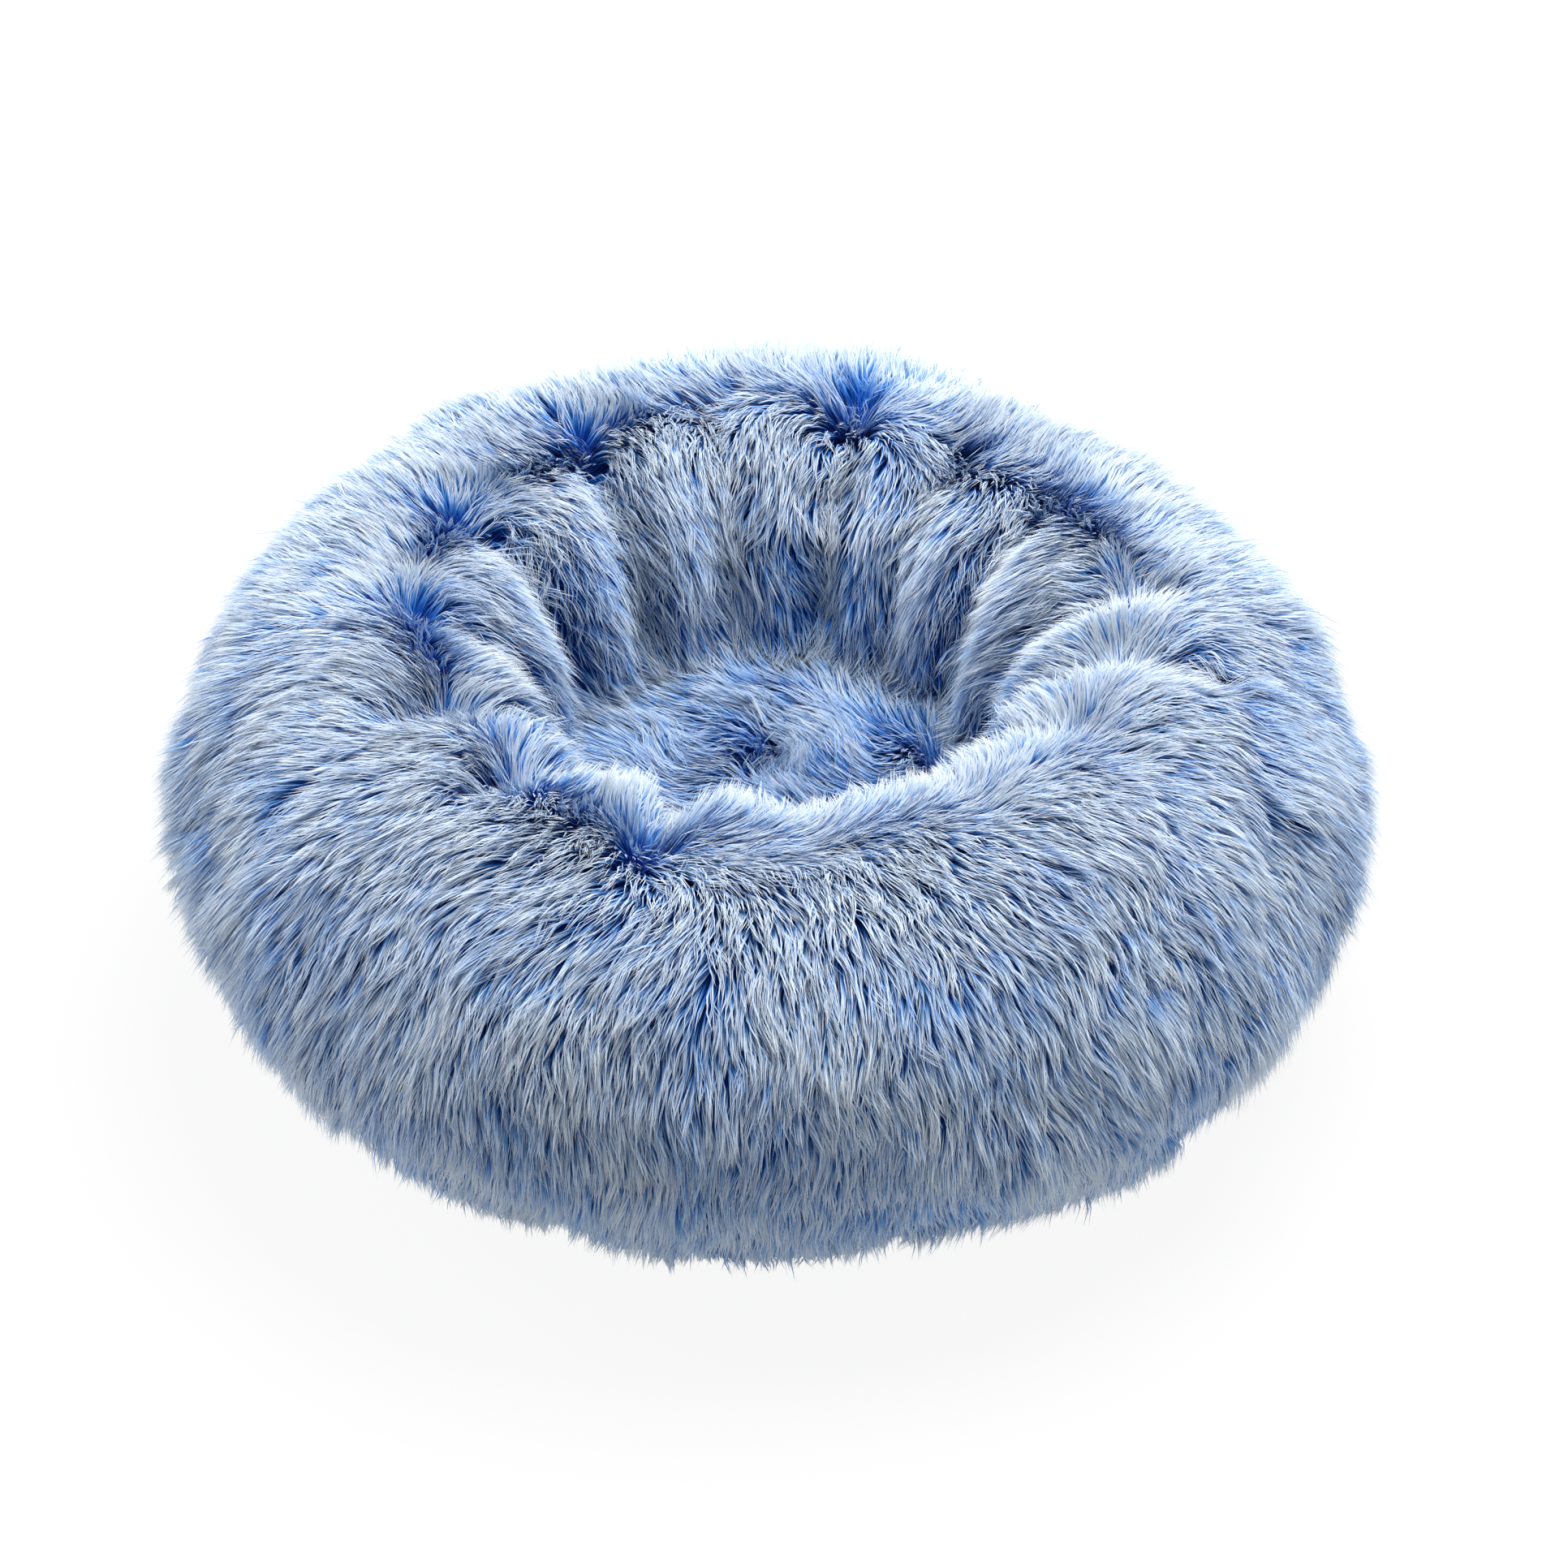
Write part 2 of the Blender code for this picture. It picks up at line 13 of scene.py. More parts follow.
import bpy
import numpy as np
from mathutils import Matrix, Vector, kdtree


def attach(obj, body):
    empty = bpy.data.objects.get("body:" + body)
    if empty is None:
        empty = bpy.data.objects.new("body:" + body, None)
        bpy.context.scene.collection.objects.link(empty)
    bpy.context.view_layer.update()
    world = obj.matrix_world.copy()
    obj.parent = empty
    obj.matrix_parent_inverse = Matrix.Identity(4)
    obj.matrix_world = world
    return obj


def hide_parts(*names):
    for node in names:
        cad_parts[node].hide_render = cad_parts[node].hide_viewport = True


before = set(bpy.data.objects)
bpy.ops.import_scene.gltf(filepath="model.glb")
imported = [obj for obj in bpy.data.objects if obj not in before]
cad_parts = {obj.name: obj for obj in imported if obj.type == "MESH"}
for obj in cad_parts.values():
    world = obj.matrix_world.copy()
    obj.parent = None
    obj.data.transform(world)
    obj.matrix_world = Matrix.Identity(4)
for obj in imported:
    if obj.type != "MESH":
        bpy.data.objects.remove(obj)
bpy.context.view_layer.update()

# %% [markdown]
# ## The camera
#
# A photograph is matched camera first, because every other judgement is made through it.
# The row of gathers on the crest is a circle, and in the photograph it is 0.63 times as
# high as it is wide, so the lens looks down by the angle whose sine is 0.63: 39 degrees.
# The lens length then follows from the bed's width in the picture.

# %% Set the camera
camera_elevation = math.radians(39)
camera_distance = 2.4
camera_aim = Vector((0.0, 0.0, 0.095))
picture_size = 1932
pixels_per_metre = 2960
aim_pixel = (946, 979)

camera_data = bpy.data.cameras.new("camera")
camera = bpy.data.objects.new("camera", camera_data)
bpy.context.scene.collection.objects.link(camera)
backwards = Vector((0.0, -math.cos(camera_elevation), math.sin(camera_elevation)))
camera.location = camera_aim + camera_distance * backwards
camera.rotation_euler = (math.pi / 2 - camera_elevation, 0, 0)
camera_data.lens = camera_data.sensor_width * pixels_per_metre * camera_distance / picture_size
camera_data.shift_x = (picture_size / 2 - aim_pixel[0]) / picture_size
camera_data.shift_y = (aim_pixel[1] - picture_size / 2) / picture_size
bpy.context.scene.camera = camera
bpy.context.scene.view_settings.view_transform = "Standard"
print("lens", round(camera_data.lens, 1), "mm at", camera_distance, "m")

# %% [markdown]
# ## The section as one curve
#
# A place on the cover is named by two numbers: its turn round the bed, and how far along
# the section it lies, from the seam in the hollow, over the crest, to the foot. With that
# curve and its outward normal, a point at any height over the skin is one sum. The curve
# is two ellipses over the crest, a flatter one for the foot and a short wall in the hollow.

# %% Walk along the section
bed_radius = 0.250
bed_height = 0.200
crest_radius = 0.155
widest_level = 0.095
hollow_radius = 0.085
hollow_level = 0.115
foot_radius = 0.166
foot_level = 0.0012
foot_fullness = 1.5
seam_radius = 0.0885
seam_level = 0.088
full_turn = math.tau


def round_the_bed(radius, turn, level):
    """Points at a radius, a turn and a level."""
    return np.stack([radius * np.cos(turn), radius * np.sin(turn), level], axis=-1)


def turned_from(turn, start):
    """The turn that leads from a start, the short way round."""
    return (turn - start + math.pi) % full_turn - math.pi


def share_of(distance, span):
    """Rises from 0 to 1 over a span, and stays level before and after it."""
    return np.clip(distance / span, 0, 1)


def bell(distance, width):
    """A smooth hump that is 1 at no distance."""
    return np.exp(-((distance / width) ** 2))


def path_lengths(points):
    """How far along a row of points each of them lies."""
    return np.concatenate([[0], np.cumsum(np.hypot(*np.diff(points[:, :2], axis=0).T))])


def bent_arc(centre, reach, rise, first, last, count, fullness=2.0):
    """Points of a quarter round; a fullness below 2 makes it flatter than an ellipse."""
    turns = np.radians(np.linspace(first, last, count))
    across = np.sign(np.cos(turns)) * np.abs(np.cos(turns)) ** (2 / fullness)
    up = np.sign(np.sin(turns)) * np.abs(np.sin(turns)) ** (2 / fullness)
    return np.stack([centre[0] + reach * across, centre[1] + rise * up], axis=1)


def section_points():
    """The pile's surface in the section, from under the cushion's edge to under the foot."""
    tuck = np.array([(0.056, 0.103), (0.070, 0.100), (0.081, 0.094)])
    wall = np.linspace((seam_radius, seam_level), (hollow_radius, hollow_level), 40)
    inner = bent_arc(
        (crest_radius, hollow_level), crest_radius - hollow_radius, bed_height - hollow_level,
        180, 90, 160,
    )
    outer = bent_arc(
        (crest_radius, widest_level), bed_radius - crest_radius, bed_height - widest_level,
        90, 0, 200,
    )
    foot = bent_arc(
        (foot_radius, widest_level), bed_radius - foot_radius, widest_level - foot_level,
        0, -90, 200, foot_fullness,
    )
    under = np.array([(foot_radius - 0.010, foot_level), (foot_radius - 0.020, foot_level)])
    return np.concatenate([tuck, wall, inner[1:], outer[1:], foot[1:], under]), len(tuck)


curve_points, seam_index = section_points()
curve_along = path_lengths(curve_points)
curve_along -= curve_along[seam_index]
curve_ways = np.gradient(curve_points, curve_along, axis=0)
curve_normals = np.stack([-curve_ways[:, 1], curve_ways[:, 0]], axis=1)
for _ in range(12):
    curve_normals[1:-1] = (curve_normals[:-2] + 2 * curve_normals[1:-1] + curve_normals[2:]) / 4
    curve_normals /= np.linalg.norm(curve_normals, axis=1, keepdims=True)
crest_along = float(curve_along[np.argmax(curve_points[:, 1])])
foot_along = float(curve_along[-3])
print("crest at", round(crest_along, 4), "and foot at", round(foot_along, 4), "m along the section")

# %% [markdown]
# ## Gathers
#
# The cover was cut wider than the hollow and drawn in, so it creases down the inner wall,
# and each crease ends on the crest in a dimple where the pile parts and shows its roots.
# The list gives each gather's turn round the bed, its dimple's radius and its strength.
# A second list gives broad swells and sags: the turn, how far past the crest, the height.

# %% Places of the gathers
gathers = np.array([
    (0.017, 0.166, 0.7), (0.092, 0.130, 1.0), (0.153, 0.140, 0.5), (0.211, 0.156, 1.0),
    (0.275, 0.148, 0.6), (0.344, 0.132, 1.0), (0.422, 0.131, 1.0), (0.500, 0.140, 0.8),
    (0.567, 0.157, 1.0), (0.628, 0.160, 1.0), (0.700, 0.150, 1.0), (0.772, 0.152, 0.3),
    (0.842, 0.158, 0.3), (0.911, 0.172, 0.4), (0.969, 0.192, 0.8),
])
gather_turn = gathers[:, 0] * full_turn
gather_along = crest_along + (gathers[:, 1] - crest_radius) * 1.12
gather_strength = gathers[:, 2]
swells = (
    (0.872, 0.185, 0.006), (0.905, 0.235, 0.007), (0.640, 0.185, 0.004), (0.105, 0.070, -0.008),
)
print(len(gathers), "gathers")


def ripples(x, y, z, size, seed):
    """A smooth field between about -1 and 1, summed from a few plane waves."""
    chance = np.random.default_rng(seed)
    total = np.zeros(np.shape(x))
    for _ in range(7):
        way = chance.normal(size=3)
        way *= full_turn / size / np.linalg.norm(way) * chance.uniform(0.6, 1.5)
        total = total + np.sin(x * way[0] + y * way[1] + z * way[2] + chance.uniform(0, full_turn))
    return total / 2.6


def section_at(along):
    """The section's radius and level at a place along it, and its normal's way out and up."""
    return [np.interp(along, curve_along, column) for column in (*curve_points.T, *curve_normals.T)]


def section_radius(along):
    return np.interp(along, curve_along, curve_points[:, 0])


def beside_and_past(turn, along, gather):
    """Distances from a gather's dimple: round the bed, and along the section."""
    aside = turned_from(turn, gather_turn[gather])
    return aside * section_radius(along), along - gather_along[gather]


crease_pull = 0.012
dimple_pull = 0.005
shoulder_push = 0.0025
shoulder_reach = 0.020


def relief(turn, along):
    """How far creases, dimples, swells and sags move the bolster's surface out."""
    radius = section_radius(along)
    total = 0.0022 * ripples(radius * np.cos(turn), radius * np.sin(turn), along, 0.11, 3)
    for i in range(len(gathers)):
        beside, past = beside_and_past(turn, along, i)
        width = 0.008 + 0.003 * share_of(along, crest_along)
        crease = bell(beside, width) / (1 + np.exp(past / 0.006))
        shoulder = bell(np.abs(beside) - shoulder_reach, 0.011) / (1 + np.exp(past / 0.010))
        dimple = bell(np.hypot(beside, past), 0.009)
        pull = crease_pull * crease + dimple_pull * dimple - shoulder_push * shoulder
        total = total - gather_strength[i] * pull
    for swell_turn, past_crest, height in swells:
        aside = turned_from(turn, swell_turn * full_turn)
        total = total + height * bell(along - crest_along - past_crest, 0.055) * bell(aside, 0.40)
    return total * share_of(along + 0.002, 0.030) * share_of(foot_along - along, 0.06)


def bolster_place(turn, along, height):
    """The point at a height over the bolster's pile surface, and the normal there."""
    radius, level, out, up = section_at(along)
    lift = height + relief(turn, along)
    return round_the_bed(radius + out * lift, turn, level + up * lift), round_the_bed(out, turn, up)


least_depth = 0.003
further_depth = 0.013


def skin_depth(along):
    """How deep the backing cloth lies under the pile's surface."""
    return least_depth + further_depth * share_of(along, 0.045) * share_of(foot_along - along, 0.09)


# %% [markdown]
# ## Small helpers for every piece
#
# Each finished piece gets its name, its finish, the body that carries it and the plain
# solids that it stands for. An operator acts on all that is selected, so everything is
# deselected before a new primitive is added.


# %% Name, finish and carry a piece
def deselect():
    bpy.ops.object.select_all(action="DESELECT")


def only(piece):
    """Selects one piece alone and makes it the active one."""
    deselect()
    piece.select_set(True)
    bpy.context.view_layer.objects.active = piece


def set_all(thing, **settings):
    """Gives one thing several settings."""
    for name, value in settings.items():
        setattr(thing, name, value)


def keep_piece(piece, name, material, body, slot, *nodes):
    piece.name = name
    piece.data.name = name
    piece.data.materials.clear()
    piece.data.materials.append(material)
    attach(piece, body)
    if nodes:
        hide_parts(*nodes)
    print(name, "has", sum(len(face.vertices) - 2 for face in piece.data.polygons), "triangles")


def link_piece(name, data):
    piece = bpy.data.objects.new(name, data)
    bpy.context.scene.collection.objects.link(piece)
    return piece


def finish_with(piece, kind, **settings):
    """Gives a piece a modifier and applies it."""
    modifier = piece.modifiers.new(kind, kind)
    set_all(modifier, **settings)
    only(piece)
    bpy.ops.object.modifier_apply(modifier=modifier.name)


def positions(mesh):
    flat = np.empty(len(mesh.vertices) * 3)
    mesh.vertices.foreach_get("co", flat)
    return flat.reshape(-1, 3)


def set_positions(mesh, points):
    mesh.vertices.foreach_set("co", np.asarray(points).ravel())
    mesh.update()


# %% [markdown]
# ## The fur's colour
#
# The colour belongs to each strand: deep blue at its root, sky blue halfway up and icy at
# its tip. Every strand carries a tiny map. The map's height runs from root to
# tip, and its place across says how blue that strand is, so one material dyes them all.
# That place across holds the strand's own tone, and also painted light and shade: paler
# on the crest, darker in the hollow, on the cushion and low on the outer wall.


# %% Fur material
def add_node(tree, kind, inputs=None, **settings):
    """A node with its settings, and with plain values in some of its inputs."""
    node = tree.nodes.new(kind)
    set_all(node, **settings)
    for socket, value in (inputs or {}).items():
        node.inputs[socket].default_value = value
    return node


def set_stops(ramp, stops):
    """Colours of a ramp, as (position, red, green, blue)."""
    elements = ramp.color_ramp.elements
    while len(elements) < len(stops):
        elements.new(1.0)
    for element, (position, red, green, blue) in zip(elements, stops, strict=True):
        element.position = position
        element.color = (red, green, blue, 1.0)


def wire(tree, *pairs):
    """Links each output to the input beside it."""
    for output, target in pairs:
        tree.links.new(output, target)


def new_finish(name, roughness, **sockets):
    """A material with its plain sockets set, its node tree and its shader."""
    material = bpy.data.materials.new(name)
    material.use_nodes = True
    shader = material.node_tree.nodes["Principled BSDF"]
    shader.inputs["Roughness"].default_value = roughness
    for socket, value in sockets.items():
        shader.inputs[socket.replace("_", " ")].default_value = value
    return material, material.node_tree, shader


def mottled_finish(name, roughness, noise_inputs, stops, stretch=None, **sockets):
    """A finish whose colour drifts between a ramp's stops as a noise over the piece does."""
    material, tree, shader = new_finish(name, roughness, **sockets)
    place = add_node(tree, "ShaderNodeTexCoord").outputs["Object"]
    if stretch:
        stretched = add_node(tree, "ShaderNodeMapping", {"Scale": stretch})
        wire(tree, (place, stretched.inputs["Vector"]))
        place = stretched.outputs["Vector"]
    noise = add_node(tree, "ShaderNodeTexNoise", noise_inputs)
    shade = add_node(tree, "ShaderNodeValToRGB")
    set_stops(shade, stops)
    wire(
        tree, (place, noise.inputs["Vector"]), (noise.outputs["Fac"], shade.inputs["Fac"]),
        (shade.outputs["Color"], shader.inputs["Base Color"]),
    )
    return material, tree, shader, noise


def raise_grain(tree, shader, height, distance):
    """Lets a texture's height tilt the surface, for grain too fine to model."""
    grain = add_node(tree, "ShaderNodeBump", {"Distance": distance})
    wire(tree, (height, grain.inputs["Height"]), (grain.outputs["Normal"], shader.inputs["Normal"]))


def fur_material():
    material, tree, shader = new_finish(
        "long_blue_fur", 0.65, Specular_IOR_Level=0.10, Sheen_Weight=0.1, Sheen_Roughness=0.5
    )
    strand_map = add_node(tree, "ShaderNodeUVMap", uv_map="OFBake")
    parts = add_node(tree, "ShaderNodeSeparateXYZ")
    pale = add_node(tree, "ShaderNodeValToRGB")
    blue = add_node(tree, "ShaderNodeValToRGB")
    blend = add_node(tree, "ShaderNodeMix", data_type="RGBA")
    set_stops(pale, [
        (0.0, 0.004, 0.058, 0.40), (0.30, 0.010, 0.130, 0.56), (0.50, 0.12, 0.35, 0.72),
        (0.66, 0.57, 0.68, 0.80), (0.90, 0.74, 0.79, 0.84),
    ])
    set_stops(blue, [
        (0.0, 0.003, 0.044, 0.33), (0.44, 0.008, 0.110, 0.52), (0.67, 0.07, 0.28, 0.68),
        (0.84, 0.38, 0.54, 0.75), (1.0, 0.64, 0.73, 0.83),
    ])
    wire(
        tree, (strand_map.outputs["UV"], parts.inputs[0]),
        (parts.outputs["Y"], pale.inputs["Fac"]), (parts.outputs["Y"], blue.inputs["Fac"]),
        (parts.outputs["X"], blend.inputs["Factor"]), (pale.outputs["Color"], blend.inputs["A"]),
        (blue.outputs["Color"], blend.inputs["B"]), (blend.outputs["Result"], shader.inputs["Base Color"]),
    )
    return material


fur = fur_material()
backing, *_ = mottled_finish(
    "fur_backing", 0.9, {"Scale": 900}, [(0.3, 0.005, 0.035, 0.24), (0.75, 0.016, 0.085, 0.38)],
    Specular_IOR_Level=0.2,
)
print("made", fur.name, "and", backing.name)

# %% [markdown]
# ## The backing cloth
#
# The cover's cloth carries the pile. A grid is wrapped round the bed, because both of its
# directions then follow the cloth: one runs round and the other runs over the section. The
# doubled seam is merged before the cloth gets its thickness.


# %% Wrap a grid round the bolster
def add_grid(name, columns, rows):
    """A unit grid whose corner is the origin, selected alone."""
    deselect()
    bpy.ops.mesh.primitive_grid_add(
        x_subdivisions=columns, y_subdivisions=rows, size=1, location=(0.5, 0.5, 0)
    )
    bpy.ops.object.transform_apply(location=True, rotation=False, scale=False)
    piece = bpy.context.object
    piece.name = name
    return piece


def close_and_turn_out(piece, distance=0.00002):
    only(piece)
    bpy.ops.object.mode_set(mode="EDIT")
    bpy.ops.mesh.select_all(action="SELECT")
    bpy.ops.mesh.remove_doubles(threshold=distance)
    bpy.ops.mesh.normals_make_consistent(inside=False)
    bpy.ops.object.mode_set(mode="OBJECT")


def give_thickness(piece, thickness, offset=-1.0):
    finish_with(piece, "SOLIDIFY", thickness=thickness, offset=offset)


def make_bolster_backing():
    piece = add_grid("bolster_backing", 180, 60)
    flat = positions(piece.data)
    along = flat[:, 1] * (foot_along + 0.003)
    point, _ = bolster_place(flat[:, 0] * full_turn, along, -skin_depth(along))
    set_positions(piece.data, point)
    close_and_turn_out(piece)
    give_thickness(piece, 0.0015)
    bpy.ops.object.shade_smooth()
    return piece


bolster_backing = make_bolster_backing()
keep_piece(bolster_backing, "bolster_backing", backing, "bed", "blue_fur", "bolster_fur_cover")

# %% [markdown]
# ## Which way the pile lies
#
# The pile falls outwards from the crest and down into the hollow. On the crest itself it is
# brushed round the bed, so that it turns from one fall to the other without a bare parting.
# It lies away from each dimple, and slow waves turn it elsewhere, as a hand leaves it.

# %% Lie of the pile
parting_inset = 0.012
crest_sweep = (
    (0.000, 0.60), (0.017, 0.30), (0.050, -0.70), (0.205, -0.85), (0.217, 0.85), (0.290, 0.70),
    (0.330, -0.35), (0.338, -0.50), (0.350, 0.55), (0.380, 0.45), (0.415, -0.60), (0.429, 0.60),
    (0.470, 0.10), (0.494, -0.50), (0.507, 0.55), (0.540, 0.20), (0.561, -0.55), (0.573, 0.65),
    (0.605, 0.15), (0.622, -0.60), (0.634, 0.70), (0.665, 0.30), (0.694, -0.65), (0.707, 0.90),
    (0.950, 0.85), (1.000, 0.60),
)


def brushed_round(turn):
    """How strongly the crest's pile is brushed round the bed, and which way."""
    places, strengths = np.array(crest_sweep).T
    return np.interp(turn / full_turn % 1.0, places, strengths)


def bolster_flow(turn, along):
    """Lie of the pile as (towards growing turn, down the outer wall); small where it stands."""
    radius = section_radius(along)
    x, y = radius * np.cos(turn), radius * np.sin(turn)
    parting = crest_along - parting_inset + 0.010 * ripples(x / radius, y / radius, 0 * turn, 1.6, 11)
    down = np.tanh((along - parting) / 0.022)
    across = 0.26 * ripples(x, y, along, 0.10, 21) + 0.18 * ripples(x, y, along, 0.035, 22)
    across = across + bell(along - parting, 0.026) * brushed_round(turn)
    for i in range(len(gathers)):
        beside, past = beside_and_past(turn, along, i)
        away = np.hypot(beside, past) + 1e-6
        near = bell(away, 0.0060) * gather_strength[i]
        across = across + near * beside / away
        down = down + near * past / away
        crease = bell(beside, 0.012) * (past < 0)
        across = across - 0.35 * crease * np.sign(beside) * gather_strength[i]
    size = np.maximum(np.hypot(across, down), 1.0)
    return across / size, down / size


def near_dimple(turn, along):
    """How near the next dimple is, from 0 to its gather's strength."""
    total = np.zeros(np.shape(turn))
    for i in range(len(gathers)):
        away = np.hypot(*beside_and_past(turn, along, i))
        total = np.maximum(total, gather_strength[i] * bell(away, 0.013))
    return total


# %% [markdown]
# ## Growing strands
#
# Long pile hangs together on three scales. A few fibres share one pointed lock, and
# several locks lean into one tuft, which leaves dark gaps beside it. So first each lock's
# middle line walks over the surface with the lie of the pile, then it leans towards the
# line of its nearest tuft, and last the lock's strands run beside that line and meet at
# its tip. A strand leaves the cloth steeply, bends over and lies down.

# %% Walk over the surface
strand_stops = np.array([0.0, 0.32, 0.67, 1.0])
strand_width = 0.00058
strand_spread = 0.0009
strand_roll = 0.55
strands_per_lock = 2


def walk(a, b, length, stray, curl, flow, stretch):
    """Lines of locks over a surface, as two arrays with one column for each stop."""
    line_a, line_b = [a], [b]
    for before, after in zip(strand_stops[:-1], strand_stops[1:], strict=True):
        across, down = flow(a, b)
        way = np.arctan2(across, down) + stray + curl * after
        size = 0.12 + 0.88 * np.hypot(across, down)
        step = (after**1.1 - before**1.1) * length * size
        a = a + step * np.sin(way) / stretch(b)
        b = b + step * np.cos(way)
        line_a.append(a)
        line_b.append(b)
    return np.stack(line_a, axis=1), np.stack(line_b, axis=1)


def nearest(points, centres):
    """For each point, the index of the nearest centre."""
    tree = kdtree.KDTree(len(centres))
    for i, centre in enumerate(centres):
        tree.insert(centre, i)
    tree.balance()
    return np.array([tree.find(point)[1] for point in points])


def lean_to_tufts(line_a, line_b, tufts, length, place, flow, stretch, chance):
    """Draws the locks' lines towards the lines of their nearest tufts."""
    count = len(tufts[0])
    calm = np.zeros(count)
    tuft_a, tuft_b = walk(
        *tufts, np.full(count, float(np.mean(length))), chance.normal(0, 0.15, count), calm, flow, stretch
    )
    centres, _ = place(*tufts, calm)
    roots, _ = place(line_a[:, 0], line_b[:, 0], np.zeros(len(line_a)))
    mine = nearest(roots, centres)
    lean = chance.uniform(0.35, 0.92, count)[mine][:, None] * strand_stops[None] ** 1.2
    line_a = line_a + lean * turned_from(tuft_a[mine], line_a)
    return line_a, line_b + lean * (tuft_b[mine] - line_b), mine


def build_strands(place, stretch, line_a, line_b, depth, top, lift, chance):
    """Middle points and half-width vectors of strands beside their locks' lines."""
    count = len(line_a)
    spread = chance.normal(0, strand_spread, (count, 2))
    width = strand_width * chance.uniform(0.70, 1.25, count)
    roll = chance.uniform(-strand_roll, strand_roll, count)
    spine, normals = [], []
    for k, stop in enumerate(strand_stops):
        loose = 1 - 0.9 * stop**0.9
        beside = spread[:, 0] * loose / stretch(line_b[:, k])
        further = spread[:, 1] * loose
        height = -depth + (depth + top) * (1 - (1 - stop) ** 1.12) + lift * stop**2
        point, normal = place(line_a[:, k] + beside, line_b[:, k] + further, height)
        spine.append(point)
        normals.append(normal)
    spine = np.stack(spine, axis=1)
    normals = np.stack(normals, axis=1)
    ways = np.gradient(spine, axis=1)
    ways /= np.linalg.norm(ways, axis=2, keepdims=True) + 1e-12
    flat = np.cross(ways, normals)
    flat /= np.linalg.norm(flat, axis=2, keepdims=True) + 1e-12
    upright = np.cross(flat, ways)
    taper = (1 - 0.75 * strand_stops**3)[None, :, None]
    half = flat * np.cos(roll)[:, None, None] + upright * np.sin(roll)[:, None, None]
    return spine, half * taper * (width / 2)[:, None, None]


def strand_mesh(name, spine, half, tone_and_shading):
    """One mesh of flat tapered strands, each with its tiny root-to-tip map."""
    count, stops = spine.shape[:2]
    sides = np.stack([spine[:, :-1] - half[:, :-1], spine[:, :-1] + half[:, :-1]], axis=2)
    verts = np.concatenate([sides.reshape(count, -1, 3), spine[:, -1:]], axis=1)
    verts[..., 2] = np.maximum(verts[..., 2], 0.0004)
    per = verts.shape[1]
    quads = [(2 * k, 2 * k + 1, 2 * k + 3, 2 * k + 2) for k in range(stops - 2)]
    pattern = np.array([corner for quad in quads for corner in quad] + [per - 3, per - 2, per - 1])
    loops = (np.arange(count)[:, None] * per + pattern[None]).astype(np.int32).ravel()
    sizes = np.tile(np.array([4] * len(quads) + [3], dtype=np.int32), count)
    starts = np.concatenate([[0], np.cumsum(sizes)[:-1]]).astype(np.int32)
    mesh = bpy.data.meshes.new(name)
    mesh.vertices.add(count * per)
    mesh.vertices.foreach_set("co", verts.astype(np.float32).ravel())
    mesh.loops.add(len(loops))
    mesh.loops.foreach_set("vertex_index", loops)
    mesh.polygons.add(len(sizes))
    mesh.polygons.foreach_set("loop_start", starts)
    mesh.polygons.foreach_set("loop_total", sizes)
    mesh.update(calc_edges=True)
    heights = np.concatenate([np.repeat(strand_stops[:-1], 2), [1.0]])
    aside = np.concatenate([np.tile([-0.004, 0.004], stops - 1), [0.0]])
    uv = np.empty((count, per, 2), dtype=np.float32)
    uv[..., 0] = tone_and_shading[:, None] + aside[None]
    uv[..., 1] = 0.01 + 0.98 * heights[None]
    strand_map = mesh.uv_layers.new(name="OFBake")
    strand_map.data.foreach_set("uv", uv.reshape(-1, 2)[loops].ravel())
    mesh.shade_smooth()
    return mesh


# %% [markdown]
# ## The bolster's pile
#
# The roots are spread by a sequence that fills a plane evenly without rows. The locks are
# kept in ten sectors of the ring, so that no one mesh grows too heavy to handle.


# %% Scatter the roots
even_steps_round = 0.7548776662466927
even_steps_over = 0.5698402909980532
patch_count = 420


def scatter_bolster(count, seed, shake):
    """Even places on the bolster: turn and distance along the section."""
    chance = np.random.default_rng(seed)
    grid = np.linspace(-0.002, foot_along - 0.006, 2000)
    parted = 1 + 0.9 * bell(grid - crest_along + parting_inset, 0.022)
    filled = np.cumsum(section_radius(grid) * parted)
    filled = (filled - filled[0]) / (filled[-1] - filled[0])
    index = np.arange(count)
    along = np.interp((index * even_steps_over) % 1.0, filled, grid)
    turn = (index * even_steps_round) % 1.0 * full_turn
    turn = turn + chance.normal(0, shake, count) / section_radius(along)
    return turn % full_turn, along + chance.normal(0, shake, count)


def stretch_round(along):
    """Metres on the cloth for each radian of turn."""
    return np.maximum(section_radius(along), 0.03)


def brushed_patches(turn, along, chance):
    """The pile's larger patches: how each is turned, raised and toned."""
    patch_turn, patch_along = scatter_bolster(patch_count, 78, 0.008)
    centres, _ = bolster_place(patch_turn, patch_along, np.zeros(patch_count))
    roots, _ = bolster_place(turn, along, np.zeros(len(turn)))
    mine = nearest(roots + chance.normal(0, 0.0015, roots.shape), centres)
    turned = chance.normal(0, 0.24, patch_count)[mine]
    raised = chance.normal(0, 0.0017, patch_count)[mine]
    toned = chance.normal(0, 0.07, patch_count)[mine]
    return turned, raised, toned


# %% Grow the bolster's locks
lock_count = 146000
tuft_count = 40000
sector_count = 10
nest_along = 0.019
bolster_pile_length = 0.031
frizz_patch = (-0.100, 0.062)


